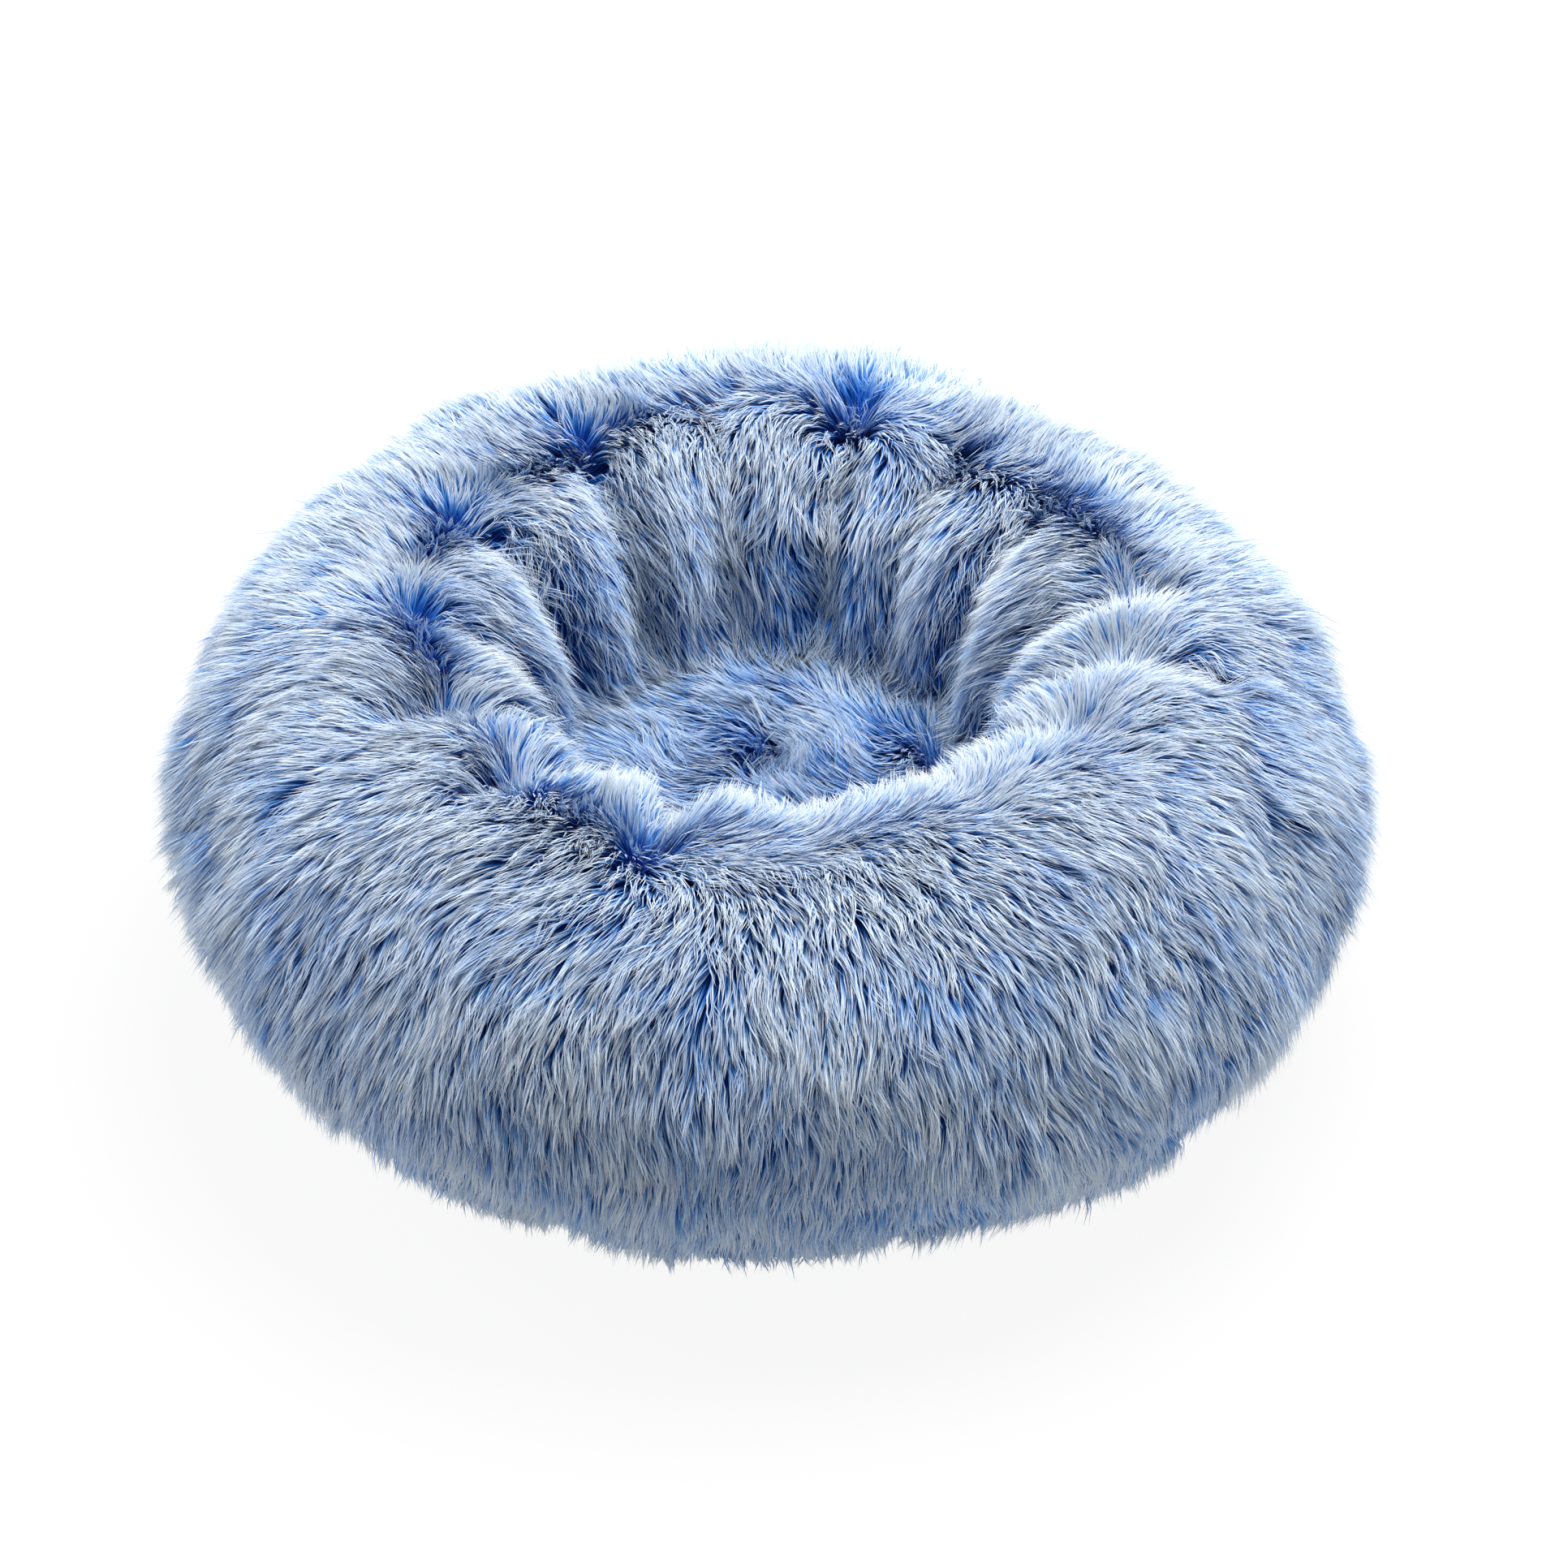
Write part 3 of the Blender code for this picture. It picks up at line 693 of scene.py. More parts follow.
def bolster_tone_and_shading(turn, along, x, y, chance):
    """How blue and how dark each lock is: least on the crest, most in the hollow and at the dimples."""
    tone_and_shading = 0.36 + 0.18 * ripples(x, y, along, 0.05, 41) + chance.normal(0, 0.17, len(turn))
    # Bluer and darker low on the outer wall: painted shade on the side that faces away from the lamps
    # above.
    tone_and_shading = tone_and_shading + 0.07 * share_of(along - crest_along - 0.09, 0.08)
    # Paler on the crest: partly the crest's own paler pile, partly painted light on the top of the ring.
    tone_and_shading = tone_and_shading - 0.36 * bell(along - crest_along, 0.045)
    # Bluer and darker up the hollow's inner wall: painted shade in the hollow. Bluer at the dimples, where
    # the roots show.
    return tone_and_shading + 0.24 * share_of(crest_along - 0.045 - along, 0.03) + 0.15 * near_dimple(turn, along)


def grow_bolster(seed):
    """All of the bolster's strands: turn, spine, half width, and tone with painted light and shade."""
    chance = np.random.default_rng(seed)
    turn, along = scatter_bolster(lock_count, seed, 0.0012)
    radius = section_radius(along)
    x, y = radius * np.cos(turn), radius * np.sin(turn)
    frizz = 2.2 * near_dimple(turn, along)
    frizz = frizz + 1.6 * bell(np.hypot(x - frizz_patch[0], y - frizz_patch[1]), 0.040)
    turned, raised, toned = brushed_patches(turn, along, chance)
    length = bolster_pile_length * chance.uniform(0.72, 1.15, lock_count)
    length = length * (1 - 0.30 * share_of(along - foot_along + 0.18, 0.12))
    length = length * (1 - 0.4 * share_of(along - foot_along + 0.055, 0.05))
    line_a, line_b = walk(
        turn, along, length, turned + chance.normal(0, 0.10, lock_count) * (1 + 1.8 * frizz),
        chance.normal(0, 0.16, lock_count) * (1 + 2.2 * frizz), bolster_flow, stretch_round,
    )
    line_a, line_b, mine = lean_to_tufts(
        line_a, line_b, scatter_bolster(tuft_count, 77, 0.004), length,
        bolster_place, bolster_flow, stretch_round, chance,
    )
    over_nest = np.clip(nest_along - line_b[:, -1], 0, 0.015)
    line_b = np.clip(line_b, nest_along - 0.004, foot_along + 0.004)
    tone_and_shading = bolster_tone_and_shading(turn, along, x, y, chance)
    tone_and_shading = tone_and_shading + toned + chance.normal(0, 0.10, tuft_count)[mine]
    standing = 1 - np.hypot(*bolster_flow(turn, along))
    top = -0.0017 + raised + 0.002 * standing + chance.normal(0, 0.0018, lock_count)
    top = top + chance.normal(0, 0.0015, tuft_count)[mine]
    top = top - 0.0020 * share_of(along - foot_along + 0.14, 0.08)
    top = top - 0.0015 * share_of(crest_along - 0.060 - along, 0.03)
    many = np.repeat(np.arange(lock_count), strands_per_lock)
    shorter = chance.uniform(0.70, 1.0, len(many))[:, None]
    spine, half = build_strands(
        bolster_place, stretch_round,
        line_a[many, :1] + (line_a[many] - line_a[many, :1]) * shorter,
        line_b[many, :1] + (line_b[many] - line_b[many, :1]) * shorter,
        skin_depth(along)[many], top[many] + chance.normal(0, 0.0006, len(many)),
        0.60 * over_nest[many], chance,
    )
    return turn[many], spine, half, np.clip(tone_and_shading[many] + chance.normal(0, 0.07, len(many)), 0.02, 0.98)


strand_turn, strand_spine, strand_half, strand_tone_and_shading = grow_bolster(5)
sector_of = (strand_turn / full_turn * sector_count).astype(int) % sector_count
for sector in range(sector_count):
    mine = sector_of == sector
    name = f"bolster_pile_{sector + 1}"
    mesh = strand_mesh(name, strand_spine[mine], strand_half[mine], strand_tone_and_shading[mine])
    keep_piece(link_piece(name, mesh), name, fur, "bed", "blue_fur")

# %% [markdown]
# ## The nest cushion's fur
#
# The cushion at the bottom of the hollow is a crowned disc of the same fur. Its backing is
# a grid of rings, made from a disc primitive whose rings are pulled down at the rim, and
# its pile lies round a whorl just behind the middle.

# %% Nest backing and nest pile
nest_radius = 0.0868
nest_crown_level = 0.1110
nest_edge_level = 0.1040
nest_depth = 0.0150
nest_pile_length = 0.029
nest_lock_count = 16000
nest_tuft_count = 2600
whorl = (0.008, 0.014)
golden_angle = 2.399963


def nest_level(x, y):
    share = np.hypot(x, y) / nest_radius
    return nest_crown_level - (nest_crown_level - nest_edge_level) * share**2.4


def nest_place(x, y, height):
    """The point at a height over the nest's pile surface, and the normal there."""
    level = nest_level(x, y) + 0.0022 * ripples(x, y, 0 * x, 0.07, 51)
    step = 0.001
    slope_x = (nest_level(x + step, y) - nest_level(x - step, y)) / (2 * step)
    slope_y = (nest_level(x, y + step) - nest_level(x, y - step)) / (2 * step)
    normal = np.stack([-slope_x, -slope_y, np.ones_like(x)], axis=-1)
    normal /= np.linalg.norm(normal, axis=-1, keepdims=True)
    return np.stack([x, y, level], axis=-1) + normal * np.asarray(height)[..., None], normal


def nest_flow(x, y):
    """Lie of the nest's pile as (right, back); small near the whorl, where it stands."""
    aside, back = x - whorl[0], y - whorl[1]
    away = np.hypot(aside, back) + 1e-6
    swirl = bell(away, 0.020)
    east = swirl * (-0.5 * aside - 0.8 * back) / away
    north = swirl * (-0.5 * back + 0.8 * aside) / away
    turned = 0.75 * ripples(x, y, 0 * x, 0.045, 52)
    east = east - (1 - swirl) * np.cos(turned)
    north = north + (1 - swirl) * np.sin(turned)
    outward = 1.1 * share_of(np.hypot(x, y) - 0.058, 0.020)
    east = east + outward * x / nest_radius
    north = north + outward * y / nest_radius
    size = np.maximum(np.hypot(east, north), 1.0)
    stand = 1 - 0.6 * bell(away, 0.013)
    return east / size * stand, north / size * stand


def make_nest_backing():
    deselect()
    bpy.ops.mesh.primitive_circle_add(vertices=96, radius=nest_radius + 0.0020, fill_type="NGON")
    piece = bpy.context.object
    bpy.ops.object.mode_set(mode="EDIT")
    for _ in range(14):
        bpy.ops.mesh.inset(thickness=0.0055)
    bpy.ops.object.mode_set(mode="OBJECT")
    flat = positions(piece.data)
    point, _ = nest_place(flat[:, 0], flat[:, 1], np.full(len(flat), -nest_depth))
    set_positions(piece.data, point)
    give_thickness(piece, 0.0016)
    only(piece)
    bpy.ops.object.shade_smooth_by_angle(angle=math.radians(50))
    return piece


def scatter_nest(count):
    """Even places on the cushion, as sunflower seeds lie."""
    index = np.arange(count)
    radius = nest_radius * np.sqrt((index + 0.5) / count)
    return radius * np.cos(index * golden_angle), radius * np.sin(index * golden_angle)


def no_stretch(back):
    """The cushion's places are in metres already."""
    return 1.0


def grow_nest(seed):
    """All of the cushion's strands: spine, half width, and tone with painted shade."""
    chance = np.random.default_rng(seed)
    locks = nest_lock_count
    x, y = scatter_nest(locks)
    frizz = 1 + 2 * bell(np.hypot(x - whorl[0], y - whorl[1]), 0.030)
    length = nest_pile_length * chance.uniform(0.72, 1.1, locks)
    line_a, line_b = walk(
        x, y, length, chance.normal(0, 0.16, locks) * frizz, chance.normal(0, 0.30, locks) * frizz,
        nest_flow, no_stretch,
    )
    jolt_x, jolt_y = chance.normal(0, 0.001, (2, nest_tuft_count))
    tuft_x, tuft_y = scatter_nest(nest_tuft_count)
    line_a, line_b, mine = lean_to_tufts(
        line_a, line_b, (tuft_x + jolt_x, tuft_y + jolt_y), length,
        nest_place, nest_flow, no_stretch, chance,
    )
    top = -0.0018 + chance.normal(0, 0.0018, locks) + chance.normal(0, 0.0022, nest_tuft_count)[mine]
    many = np.repeat(np.arange(locks), strands_per_lock)
    spine, half = build_strands(
        nest_place, no_stretch, line_a[many], line_b[many], np.full(len(many), nest_depth),
        top[many], 0.0, chance,
    )
    # The cushion's pile starts bluer and darker than the bolster's, at 0.72: painted shade for the bottom
    # of the hollow. The ripples and the random parts are its own tone.
    tone_and_shading = 0.72 + 0.2 * ripples(x, y, 0 * x, 0.03, 53) + chance.normal(0, 0.16, locks)
    tone_and_shading = tone_and_shading + chance.normal(0, 0.10, nest_tuft_count)[mine]
    return spine, half, np.clip(tone_and_shading[many] + chance.normal(0, 0.07, len(many)), 0.02, 0.98)


nest_backing = make_nest_backing()
keep_piece(nest_backing, "nest_backing", backing, "bed", "blue_fur", "nest_fur_panel")
nest_mesh = strand_mesh("nest_pile", *grow_nest(9))
keep_piece(link_piece("nest_pile", nest_mesh), "nest_pile", fur, "bed", "blue_fur")

# %% [markdown]
# ## The fillings
#
# Inside the cover lie two white bags of loose fibre: a ring and a round cushion. The ring
# starts as a torus and the cushion as a ball, because their faces already close on
# themselves, and each ring of points is then moved to its place on the section. Last, each
# bag is cut into even cells and swelled as cloth, held near the form that it was given.


# %% Outlines of the fillings
outline_steps = 72
torus_radius = 0.16
edge_drop = 0.022


def even_steps(points, count):
    """A closed outline as evenly spaced points, the first one kept."""
    points = np.concatenate([points, points[:1]])
    along = path_lengths(points)
    steps = np.linspace(0, along[-1], count, endpoint=False)
    return np.stack([np.interp(steps, along, column) for column in points.T], axis=1)


def ring_outline(gap, floor_level, inner_radius):
    """The ring bag's section from the foot up, as (radius, level, along, softness)."""
    over = np.linspace(foot_along - 0.006, 0.014, 120)
    depth = skin_depth(over) + gap
    radius, level, out, up = section_at(over)
    rows = np.stack([radius - depth * out, level - depth * up, over, np.ones_like(over)], axis=1)
    rows = rows[(rows[:, 0] > inner_radius) & (rows[:, 1] > floor_level + 0.0088)]
    low = np.zeros((7, 4))
    low[:, :2] = [
        (inner_radius, 0.070), (inner_radius, floor_level + 0.018),
        (inner_radius + 0.005, floor_level + 0.004), (inner_radius + 0.012, floor_level),
        (0.139, floor_level), (0.149, floor_level + 0.0078), (0.162, floor_level + 0.0085),
    ]
    return even_steps(np.concatenate([rows, low]), outline_steps)


def disc_outline(side, low, high):
    """The cushion bag's half section from the top middle to the bottom middle."""
    flat_part = 0.86 * side
    crown = [(flat_part * u, high - edge_drop * u**2.2) for u in np.linspace(0, 1, 14)]
    bulge = 0.5 * (crown[-1][1] - low)
    wall = [
        (flat_part + 0.14 * side * math.cos(turn), low + bulge * (1 + math.sin(turn)))
        for turn in np.radians(np.linspace(80, -80, 14))
    ]
    under = [(flat_part * u, low) for u in np.linspace(1, 0, 10)[1:]]
    points = np.array(crown + wall + under)
    along = path_lengths(points)
    return points, along / along[-1]


def close_bag(piece, name):
    close_and_turn_out(piece)
    bpy.ops.object.shade_smooth()
    piece.name = name


def make_ring_bag(name, gap, floor_level, inner_radius, crumple, seed):
    deselect()
    bpy.ops.mesh.primitive_torus_add(
        major_segments=144, minor_segments=outline_steps, major_radius=torus_radius, minor_radius=0.05
    )
    piece = bpy.context.object
    flat = positions(piece.data)
    turn = np.arctan2(flat[:, 1], flat[:, 0])
    minor = np.arctan2(flat[:, 2], np.hypot(flat[:, 0], flat[:, 1]) - torus_radius)
    index = np.round((minor % full_turn) / full_turn * outline_steps).astype(int) % outline_steps
    radius, level, along, softness = ring_outline(gap, floor_level, inner_radius)[index].T
    give = relief(turn % full_turn, along) * softness
    x, y = radius * np.cos(turn), radius * np.sin(turn)
    give = give - crumple * (1 + ripples(x, y, level, 0.05, seed)) * softness
    _, _, out, up = section_at(along)
    set_positions(piece.data, round_the_bed(radius + out * give, turn, level + up * give))
    close_bag(piece, name)
    return piece


def make_disc_bag(name, side, low, high, crumple, seed):
    deselect()
    bpy.ops.mesh.primitive_uv_sphere_add(segments=96, ring_count=48, radius=1)
    piece = bpy.context.object
    flat = positions(piece.data)
    turn = np.arctan2(flat[:, 1], flat[:, 0])
    share = np.arccos(np.clip(flat[:, 2], -1, 1)) / math.pi
    outline, along = disc_outline(side, low, high)
    radius = np.interp(share, along, outline[:, 0])
    level = np.interp(share, along, outline[:, 1])
    rumple = ripples(radius * np.cos(turn), radius * np.sin(turn), level, 0.04, seed)
    level = level - crumple * (1 + rumple) * share_of(level - low, 0.02)
    pleat = 0.5 * crumple * np.cos(36 * turn) * share_of(radius, side) ** 6
    set_positions(piece.data, round_the_bed(radius - np.abs(pleat), turn, level))
    close_bag(piece, name)
    return piece


bag_level = 0.0020
bag_thickness = 0.0008
fibre_level = 0.0042
cloth_steps = 20
wall_radius = 0.112
wall_top = 0.085


def settle(piece, cell, reach):
    """Lets a filled bag swell and wrinkle as cloth does, held near the form it was given."""
    finish_with(piece, "REMESH", mode="VOXEL", voxel_size=cell)
    start = positions(piece.data)
    cloth = piece.modifiers.new("cloth", "CLOTH")
    set_all(
        cloth.settings, quality=5, mass=0.15, tension_stiffness=20, bending_stiffness=0.05,
        shrink_min=-0.05, use_pressure=True, uniform_pressure_force=4.0,
    )
    cloth.settings.effector_weights.gravity = 0
    cloth.point_cache.frame_end = cloth_steps
    for step in range(1, cloth_steps + 1):
        bpy.context.scene.frame_set(step)
    only(piece)
    bpy.ops.object.modifier_apply(modifier=cloth.name)
    bpy.context.scene.frame_set(1)
    moved = positions(piece.data) - start
    far = np.linalg.norm(moved, axis=1)
    near_wall = (np.hypot(start[:, 0], start[:, 1]) < wall_radius) & (start[:, 2] < wall_top)
    near_floor = start[:, 2] < bag_level + 0.012
    room = np.where(near_floor, 0.0003, np.where(near_wall, 0.0006, reach))
    moved = moved * np.minimum(1, room / np.maximum(far, 1e-9))[:, None]
    moved[near_floor, 2] = 0
    set_positions(piece.data, start + moved)
    bpy.ops.object.shade_smooth()
    print(piece.name, "would have swelled", round(float(far.max()) * 1000, 1), "mm at most")


# %% Finishes of the fillings
def nonwoven_material():
    """White spunbond cloth: a grid of tiny pressed dots over faint fibre swirls."""
    material, tree, shader, _ = mottled_finish(
        "white_nonwoven", 0.85, {"Scale": 160, "Distortion": 1.5},
        [(0.25, 0.66, 0.67, 0.68), (0.75, 0.84, 0.84, 0.83)], Specular_IOR_Level=0.2,
    )
    place = add_node(tree, "ShaderNodeTexCoord")
    dots = add_node(tree, "ShaderNodeTexVoronoi", {"Scale": 700, "Randomness": 0.15}, feature="F1")
    wire(tree, (place.outputs["Object"], dots.inputs["Vector"]))
    raise_grain(tree, shader, dots.outputs["Distance"], 0.0003)
    return material


def fibre_material():
    """Loose crimped polyester, as noise drawn out into wisps."""
    material, tree, shader, wisps = mottled_finish(
        "white_fibre", 1.0, {"Scale": 90, "Detail": 8, "Distortion": 3},
        [(0.3, 0.68, 0.69, 0.70), (0.7, 0.90, 0.90, 0.89)], Specular_IOR_Level=0.1, Sheen_Weight=0.4,
    )
    raise_grain(tree, shader, wisps.outputs["Fac"], 0.002)
    return material


nonwoven = nonwoven_material()
fibre = fibre_material()

bolster_bag = make_ring_bag(
    "bolster_bag", gap=0.0045, floor_level=bag_level, inner_radius=0.1064, crumple=0.0006, seed=61
)
settle(bolster_bag, cell=0.008, reach=0.0022)
give_thickness(bolster_bag, bag_thickness)
keep_piece(bolster_bag, "bolster_bag", nonwoven, "bed", "white_nonwoven", "bolster_inner_case")
bolster_fibre = make_ring_bag(
    "bolster_fibre", gap=0.0075, floor_level=fibre_level, inner_radius=0.1090, crumple=0.0014, seed=62
)
keep_piece(bolster_fibre, "bolster_fibre", fibre, "bed", "white_fibre", "bolster_fibre_fill")
nest_bag = make_disc_bag("nest_bag", side=0.1045, low=bag_level, high=0.0905, crumple=0.0007, seed=63)
settle(nest_bag, cell=0.005, reach=0.0020)
give_thickness(nest_bag, bag_thickness)
keep_piece(nest_bag, "nest_bag", nonwoven, "bed", "white_nonwoven", "nest_inner_case")
nest_fibre = make_disc_bag(
    "nest_fibre", side=0.1018, low=fibre_level, high=0.0878, crumple=0.0012, seed=64
)
keep_piece(nest_fibre, "nest_fibre", fibre, "bed", "white_fibre", "nest_fibre_fill")

# %% [markdown]
# ## The seam round the nest
#
# Where the inner wall meets the cushion, both raw edges are bound in a narrow tape that an
# overlock thread winds round. The tape is a torus pressed to an oval, and the thread is a
# curve that turns round it as it goes, given a thickness by its bevel.


# %% Bind the seam
seam_tape_radius = 0.0915
seam_tape_level = 0.0854


def wound_thread(name, ring_radius, level, start, sweep, turns, reach, rise, thickness):
    """A thread or wire that winds round a ring or an arc of a ring, as a mesh."""
    count = turns * 12 + 1
    share = np.linspace(0, 1, count)
    wind = share * turns * full_turn
    radius = ring_radius + reach * np.cos(wind)
    points = round_the_bed(radius, start + sweep * share, level + rise * np.sin(wind))
    curve = bpy.data.curves.new(name, "CURVE")
    set_all(curve, dimensions="3D", bevel_depth=thickness / 2, bevel_resolution=1, use_fill_caps=True)
    spline = curve.splines.new("POLY")
    spline.points.add(count - 1)
    spline.points.foreach_set("co", np.concatenate([points, np.ones((count, 1))], axis=1).ravel())
    piece = link_piece(name, curve)
    only(piece)
    bpy.ops.object.convert(target="MESH")
    piece = bpy.context.object
    bpy.ops.object.shade_smooth()
    return piece


def woven_material(name, dark, light, pitch, source):
    """A plain weave: threads across go over and under threads along."""
    material, tree, shader = new_finish(name, 0.8, Specular_IOR_Level=0.25, Sheen_Weight=0.15)
    if source == "Object":
        place = add_node(tree, "ShaderNodeTexCoord").outputs["Object"]
    else:
        place = add_node(tree, "ShaderNodeUVMap", uv_map=source).outputs["UV"]
    crossing = add_node(tree, "ShaderNodeMath", operation="MULTIPLY")
    for side, (direction, phase) in enumerate((("X", 0.0), ("Y", math.pi / 2))):
        threads = add_node(
            tree, "ShaderNodeTexWave",
            {"Scale": 0.31416 / pitch, "Distortion": 0.4, "Phase Offset": phase}, bands_direction=direction,
        )
        wire(tree, (place, threads.inputs["Vector"]), (threads.outputs["Fac"], crossing.inputs[side]))
    shade = add_node(tree, "ShaderNodeValToRGB")
    set_stops(shade, [(0.05, *dark), (0.7, *light)])
    wire(
        tree, (crossing.outputs[0], shade.inputs["Fac"]),
        (shade.outputs["Color"], shader.inputs["Base Color"]),
    )
    raise_grain(tree, shader, crossing.outputs[0], pitch / 3)
    return material


def make_seam_tape():
    deselect()
    bpy.ops.mesh.primitive_torus_add(
        major_segments=160, minor_segments=16, major_radius=seam_tape_radius, minor_radius=0.0020
    )
    piece = bpy.context.object
    flat = positions(piece.data)
    across = np.hypot(flat[:, 0], flat[:, 1])
    flat[:, :2] *= ((seam_tape_radius + (across - seam_tape_radius) * 1.35) / across)[:, None]
    flat[:, 2] += seam_tape_level
    set_positions(piece.data, flat)
    bpy.ops.object.shade_smooth()
    return piece


tape_blues = (0.02, 0.06, 0.17), (0.08, 0.19, 0.42)
pale_thread, *_ = mottled_finish(
    "pale_blue_thread", 0.7, {"Scale": 2500}, [(0.3, 0.252, 0.312, 0.396), (0.7, 0.525, 0.65, 0.825)],
    Specular_IOR_Level=0.3, Sheen_Weight=0.2,
)
tape_cloth = woven_material("blue_tape_weave", *tape_blues, 0.0005, "Object")
seam_tape = make_seam_tape()
keep_piece(seam_tape, "nest_seam_tape", tape_cloth, "bed", "blue_zip_tape", "nest_seam_binding")
seam_thread = wound_thread(
    "nest_seam_thread", seam_tape_radius, seam_tape_level, 0, full_turn,
    turns=150, reach=0.0028, rise=0.0021, thickness=0.0003,
)
keep_piece(seam_thread, "nest_seam_thread", pale_thread, "bed", "blue_zip_tape")

# %% [markdown]
# ## The grip cloth
#
# The bed stands on a disc of coated cloth that rubber dots keep from sliding. The disc is a
# filled circle with a thickness and rounded edges. One dot is modelled, the lower half of a
# flattened ball, and its copies stand in staggered rows.


# %% Make the grip cloth
base_radius = 0.150
dot_pitch = 0.0078
dot_radius = 0.0014
groove_inset = 0.0037


def repeated(name, template, places):
    """One mesh of copies of a small mesh, a copy at each matrix; the template is removed."""
    source = template.data
    points = positions(source)
    corners = np.concatenate([points, np.ones((len(points), 1))], axis=1)
    grid = np.array([np.array(place) for place in places])
    moved = np.einsum("nij,mj->nmi", grid, corners)[..., :3]
    faces = [tuple(face.vertices) for face in source.polygons]
    all_faces = [
        tuple(corner + i * len(points) for corner in face) for i in range(len(places)) for face in faces
    ]
    mesh = bpy.data.meshes.new(name)
    mesh.from_pydata(moved.reshape(-1, 3), [], all_faces)
    mesh.shade_smooth()
    bpy.data.objects.remove(template)
    return link_piece(name, mesh)


def small_ball(segments, rings, size):
    """A ball squeezed to three half widths, at the origin."""
    deselect()
    bpy.ops.mesh.primitive_uv_sphere_add(segments=segments, ring_count=rings, radius=1)
    bpy.ops.transform.resize(value=size)
    bpy.ops.object.transform_apply(location=False, rotation=False, scale=True)
    return bpy.context.object


def make_grip_cloth():
    deselect()
    bpy.ops.mesh.primitive_circle_add(
        vertices=144, radius=base_radius - 0.0002, fill_type="NGON", location=(0, 0, 0.0014)
    )
    bpy.ops.object.transform_apply(location=True, rotation=False, scale=False)
    piece = bpy.context.object
    bpy.ops.object.mode_set(mode="EDIT")
    for inset in (0.0035, 0.0015):
        bpy.ops.mesh.inset(thickness=inset)
    bpy.ops.object.mode_set(mode="OBJECT")
    flat = positions(piece.data)
    radius = np.hypot(flat[:, 0], flat[:, 1])
    groove = np.abs(radius - (base_radius - groove_inset)) < 0.0003
    flat[groove, 2] -= 0.0001
    set_positions(piece.data, flat)
    give_thickness(piece, 0.0009)
    finish_with(piece, "BEVEL", width=0.00025, segments=3)
    bpy.ops.object.shade_smooth_by_angle(angle=math.radians(40))
    return piece


def make_grip_dots():
    dot = small_ball(8, 6, (dot_radius, dot_radius, 0.0006))
    bpy.ops.object.mode_set(mode="EDIT")
    bpy.ops.mesh.select_all(action="SELECT")
    bpy.ops.mesh.bisect(plane_co=(0, 0, 0.00001), plane_no=(0, 0, 1), clear_outer=True)
    bpy.ops.object.mode_set(mode="OBJECT")
    places = []
    rows = int(base_radius / dot_pitch) + 2
    for row in range(-rows, rows + 1):
        for column in range(-rows, rows + 1):
            x = (column + 0.5 * (row % 2)) * dot_pitch
            y = row * dot_pitch * math.sqrt(0.75)
            if math.hypot(x, y) < base_radius - 0.008:
                places.append(Matrix.Translation((x, y, 0.0006)))
    print(len(places), "grip dots")
    return repeated("grip_dots", dot, places)


grip_weave = woven_material("grip_cloth_weave", (0.10, 0.12, 0.15), (0.30, 0.33, 0.38), 0.0007, "Object")
rubber, *_ = mottled_finish(
    "grip_rubber", 0.45, {"Scale": 120}, [(0.35, 0.46, 0.50, 0.55), (0.7, 0.60, 0.63, 0.66)],
    Specular_IOR_Level=0.5,
)
grip_cloth = make_grip_cloth()
keep_piece(grip_cloth, "grip_cloth", grip_weave, "bed", "grey_base_cloth", "base_grip_cloth")
grip_dots = make_grip_dots()
keep_piece(grip_dots, "grip_dots", rubber, "bed", "grey_base_cloth")

# %% [markdown]
# ## Binding, zip tapes and stitches
#
# A woven strip joins the grip cloth to the fur. At the rear it gives way to the zip, whose
# two tapes lie the same way. Each strip is a grid wrapped along an arc, and it carries a
# map in metres, so that its weave runs round with it.

# %% Make the strips
zip_start = math.radians(35)
zip_sweep = math.radians(110)
zip_radius = 0.1577
zip_level = 0.0055
tape_thickness = 0.00054
stitch_pitch = 0.0030
stitch_half = (0.00108, 0.00023, 0.00020)
base_side = [(0.1420, 0.0021), (0.1488, 0.0021), (0.1501, 0.0026), (0.1517, 0.0045), (0.1529, 0.0054)]
cover_side = [(0.1622, 0.0055), (0.1636, 0.0057), (0.1655, 0.0063), (0.1680, 0.0072)]


def rounded_row(points, steps):
    """Points of a row, spaced evenly and eased round its bends."""
    points = np.array(points)
    along = path_lengths(points)
    even = np.linspace(0, along[-1], steps)
    row = np.stack([np.interp(even, along, column) for column in points.T], axis=1)
    for _ in range(3):
        row[1:-1] = (row[:-2] + 2 * row[1:-1] + row[2:]) / 4
    return row, even


def make_strip(name, start, sweep, points, rows):
    """A thin strip along an arc, with its weave's map in metres."""
    columns = max(24, int(220 * sweep / full_turn))
    piece = add_grid(name, columns, rows)
    flat = positions(piece.data)
    row, even = rounded_row(points, rows + 1)
    place = flat[:, 1] * even[-1]
    radius = np.interp(place, even, row[:, 0])
    level = np.interp(place, even, row[:, 1])
    weave_map = piece.data.uv_layers.new(name="Weave")
    corners = np.empty(len(piece.data.loops), dtype=int)
    piece.data.loops.foreach_get("vertex_index", corners)
    lengths = np.stack([flat[:, 0] * sweep * zip_radius, place], axis=1)
    weave_map.data.foreach_set("uv", lengths[corners].astype(np.float32).ravel())
    set_positions(piece.data, round_the_bed(radius, start + flat[:, 0] * sweep, level))
    give_thickness(piece, tape_thickness, offset=0.0)
    close_and_turn_out(piece)
    bpy.ops.object.shade_smooth_by_angle(angle=math.radians(50))
    return piece


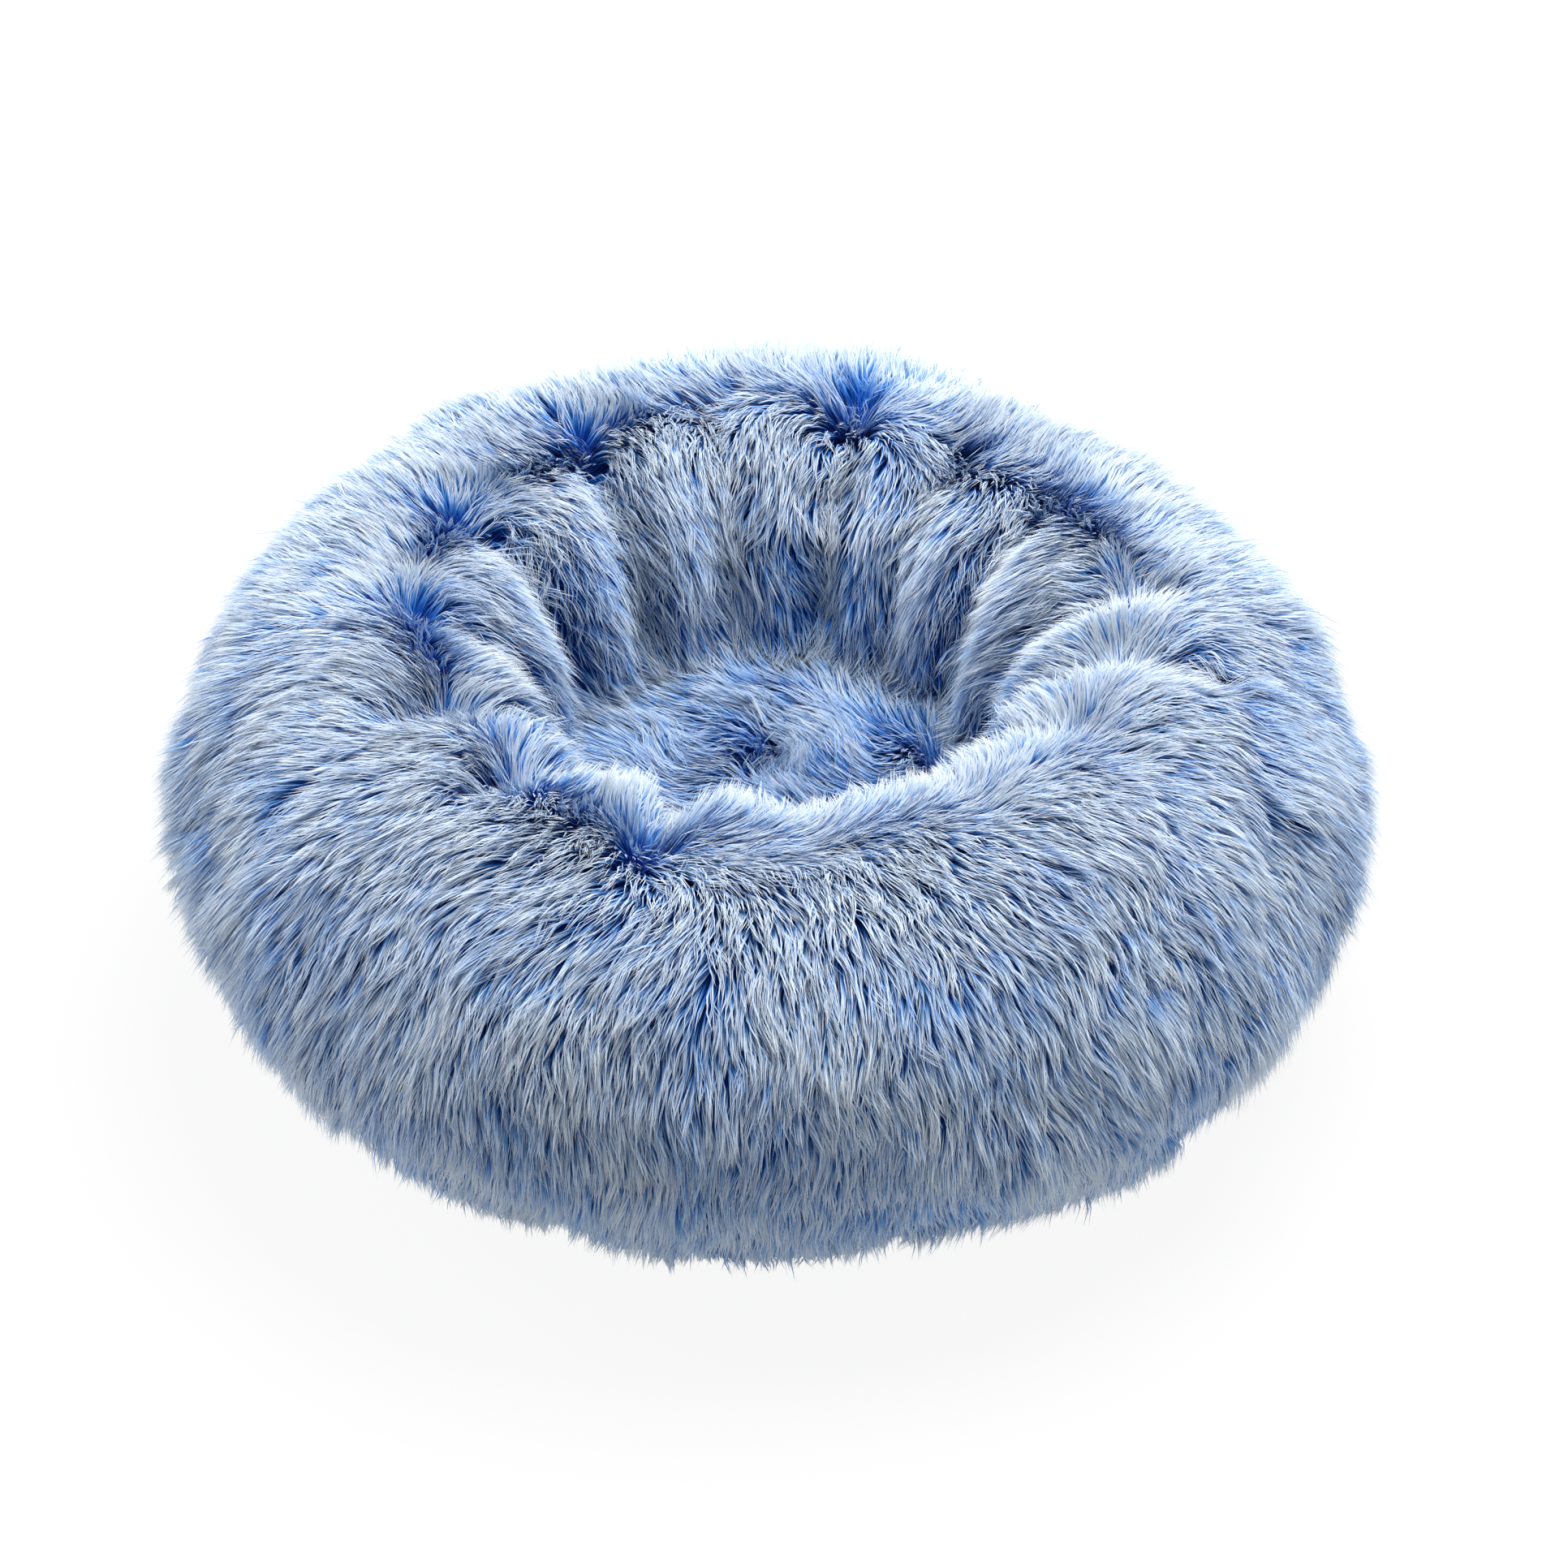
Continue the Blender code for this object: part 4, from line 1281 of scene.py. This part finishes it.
def stitch_row(name, radius, level, start, sweep):
    """Thread stitches in a row along an arc."""
    count = int(sweep * radius / stitch_pitch)
    places = []
    for i in range(count):
        turn = start + sweep * (i + 0.5) / count
        spot = Vector((radius * math.cos(turn), radius * math.sin(turn), level))
        places.append(Matrix.Translation(spot) @ Matrix.Rotation(turn + math.pi / 2, 4, "Z"))
    return repeated(name, small_ball(6, 5, stitch_half), places)


end_gap = 0.0003 / zip_radius
bind_weave = woven_material("binding_weave", (0.09, 0.11, 0.14), (0.26, 0.30, 0.36), 0.0006, "Weave")
zip_weave = woven_material("zip_tape_weave", *tape_blues, 0.0005, "Weave")
binding = make_strip(
    "edge_binding", zip_start + zip_sweep + end_gap, full_turn - zip_sweep - 2 * end_gap,
    base_side + [(0.157, 0.0055)] + cover_side, 20,
)
keep_piece(binding, "edge_binding", bind_weave, "bed", "grey_base_cloth", "base_edge_binding")
tape_in = make_strip("tape_on_base", zip_start, zip_sweep, base_side + [(0.1543, 0.0055)], 12)
keep_piece(tape_in, "tape_on_base", zip_weave, "bed", "blue_zip_tape", "zip_tape_base")
tape_out = make_strip("tape_on_cover", zip_start, zip_sweep, [(0.1611, 0.0055)] + cover_side, 10)
keep_piece(tape_out, "tape_on_cover", zip_weave, "bed", "blue_zip_tape", "zip_tape_cover")
for name, radius, level, start, sweep in (
    ("base_stitches", 0.1463, 0.00055, 0.0, full_turn),
    ("binding_stitches", 0.1532, 0.0051, zip_start + zip_sweep + 0.01, full_turn - zip_sweep - 0.02),
    ("tape_stitches", 0.1632, 0.0053, zip_start + 0.01, zip_sweep - 0.02),
):
    keep_piece(stitch_row(name, radius, level, start, sweep), name, pale_thread, "bed", "grey_base_cloth")

# %% [markdown]
# ## Zip coils
#
# The teeth of such a zip are one nylon wire wound into a coil on each tape. The coil is a
# curve that winds along the arc, with a flattened turn every 1.4 mm.


# %% Wind the coils
coil_pitch = 0.0014
coil_offset = 0.00185
nylon, *_ = mottled_finish(
    "zip_nylon", 0.38, {"Scale": 300}, [(0.3, 0.05, 0.12, 0.30), (0.7, 0.09, 0.20, 0.44)],
    Specular_IOR_Level=0.5,
)
coil_margin = 0.0042 / zip_radius
coil_turns = int((zip_sweep - 2 * coil_margin) * zip_radius / coil_pitch)
for name, side, node in (("coil_on_base", -1, "zip_coil_base"), ("coil_on_cover", 1, "zip_coil_cover")):
    coil = wound_thread(
        name, zip_radius + side * coil_offset, zip_level, zip_start + coil_margin,
        zip_sweep - 2 * coil_margin, turns=coil_turns, reach=0.00092, rise=0.00088, thickness=0.0006,
    )
    keep_piece(coil, name, nylon, "bed", "blue_nylon", node)

# %% [markdown]
# ## Stops, slider and pull tab
#
# These are cast or pressed metal, and their plain solids already have the right shape but
# for the edges. So each is a copy of its solid, with the flat faces joined up again and
# every edge rounded, because a sharp edge is what gives a computer-made part away.


# %% Round the metal pieces
stop_round = 0.0004
slider_round = 0.00022


def steel_material():
    """Nickel-plated metal with fine brushing and small dull marks."""
    material, tree, shader, brushing = mottled_finish(
        "zip_nickel", 0.3, {"Scale": 1.0}, [(0.3, 0.50, 0.51, 0.53), (0.7, 0.70, 0.71, 0.72)],
        stretch=(400, 400, 3000), Metallic=1.0,
    )
    dull = add_node(tree, "ShaderNodeMapRange", {"To Min": 0.22, "To Max": 0.45})
    wire(
        tree, (brushing.outputs["Fac"], dull.inputs["Value"]),
        (dull.outputs["Result"], shader.inputs["Roughness"]),
    )
    return material


def rounded_copy(node, name, width):
    """A copy of a plain solid with its flat faces joined and its edges rounded."""
    mesh = bpy.data.objects[node].data.copy()
    piece = link_piece(name, mesh)
    only(piece)
    bpy.ops.object.mode_set(mode="EDIT")
    bpy.ops.mesh.select_all(action="SELECT")
    bpy.ops.mesh.remove_doubles(threshold=0.000005)
    bpy.ops.mesh.dissolve_limited(angle_limit=math.radians(2))
    bpy.ops.object.mode_set(mode="OBJECT")
    sharp = math.radians(35)
    finish_with(piece, "BEVEL", width=width, segments=3, limit_method="ANGLE", angle_limit=sharp)
    bpy.ops.object.shade_smooth_by_angle(angle=sharp)
    return piece


steel = steel_material()
for node, name, body, width in (
    ("zip_top_stop_base", "top_stop_on_base", "bed", stop_round),
    ("zip_top_stop_cover", "top_stop_on_cover", "bed", stop_round),
    ("zip_bottom_stop", "bottom_stop", "bed", stop_round),
    ("zip_slider", "slider_rounded", "slider", slider_round),
    ("zip_pull_tab", "pull_tab_rounded", "pull_tab", slider_round),
):
    keep_piece(rounded_copy(node, name, width), name, steel, body, "zip_steel", node)

# %% [markdown]
# ## Floor and light
#
# The photograph is a studio shot on white, lit softly from above and behind on the right,
# so the front of the bolster falls into grey. The floor is white to the camera and keeps a
# faint shadow. Its other side lets the view from below through, and light passes it from a
# lamp underneath, so that the zip can be seen when the bed is looked at from below.


# %% Floor
def make_floor():
    deselect()
    bpy.ops.mesh.primitive_plane_add(size=30, location=(0, 0, -0.0006))
    piece = bpy.context.object
    piece.name = "floor"
    material, tree, shader = new_finish("white_floor", 0.95, Specular_IOR_Level=0.0)
    shader.inputs["Base Color"].default_value = (0.80, 0.80, 0.80, 1.0)
    rays = add_node(tree, "ShaderNodeLightPath").outputs
    seen = add_node(tree, "ShaderNodeMath", operation="MAXIMUM")
    mirrored = add_node(tree, "ShaderNodeMath", operation="MAXIMUM")
    whiteness = add_node(tree, "ShaderNodeMath", {1: 0.92}, operation="MULTIPLY")
    white = add_node(tree, "ShaderNodeEmission", {"Strength": 1.0})
    upper_side = add_node(tree, "ShaderNodeMixShader")
    clear = add_node(tree, "ShaderNodeBsdfTransparent")
    side = add_node(tree, "ShaderNodeNewGeometry")
    passes = add_node(tree, "ShaderNodeMath", operation="MAXIMUM")
    both = add_node(tree, "ShaderNodeMixShader")
    wire(
        tree, (rays["Is Camera Ray"], seen.inputs[0]), (rays["Is Glossy Ray"], seen.inputs[1]),
        (seen.outputs[0], mirrored.inputs[0]), (rays["Is Transmission Ray"], mirrored.inputs[1]),
        (mirrored.outputs[0], whiteness.inputs[0]), (whiteness.outputs[0], upper_side.inputs[0]),
        (shader.outputs[0], upper_side.inputs[1]), (white.outputs[0], upper_side.inputs[2]),
        (side.outputs["Backfacing"], passes.inputs[0]), (rays["Is Shadow Ray"], passes.inputs[1]),
        (passes.outputs[0], both.inputs[0]), (upper_side.outputs[0], both.inputs[1]),
        (clear.outputs[0], both.inputs[2]),
        (both.outputs[0], tree.nodes["Material Output"].inputs["Surface"]),
    )
    piece.data.materials.append(material)


make_floor()


# %% World and lamps
def make_world():
    world = bpy.data.worlds.new("soft_studio")
    bpy.context.scene.world = world
    world.use_nodes = True
    tree = world.node_tree
    light = tree.nodes["Background"]
    light.inputs["Color"].default_value = (1.0, 1.0, 1.0, 1.0)
    light.inputs["Strength"].default_value = 0.28
    white = add_node(tree, "ShaderNodeBackground", {"Strength": 1.0})
    rays = add_node(tree, "ShaderNodeLightPath")
    choice = add_node(tree, "ShaderNodeMixShader")
    wire(
        tree, (rays.outputs["Is Camera Ray"], choice.inputs[0]), (light.outputs[0], choice.inputs[1]),
        (white.outputs[0], choice.inputs[2]),
        (choice.outputs[0], tree.nodes["World Output"].inputs["Surface"]),
    )


def add_softbox(name, place, aim, size, power):
    lamp_data = bpy.data.lights.new(name, "AREA")
    set_all(lamp_data, shape="DISK", size=size, energy=power)
    lamp = link_piece(name, lamp_data)
    lamp.location = place
    lamp.rotation_euler = (Vector(aim) - Vector(place)).to_track_quat("-Z", "Y").to_euler()


make_world()
add_softbox("top_softbox", (0.36, 0.38, 1.9), (0, 0, 0.1), size=1.4, power=55)
add_softbox("left_softbox", (-1.7, 0.25, 1.1), (0, 0, 0.1), size=1.0, power=13)
add_softbox("right_softbox", (1.7, 0.45, 1.1), (0, 0, 0.1), size=1.0, power=3)
add_softbox("under_softbox", (0.3, 0.9, -1.3), (0, 0, 0), size=1.2, power=9)
print("the lamps and the world are in")
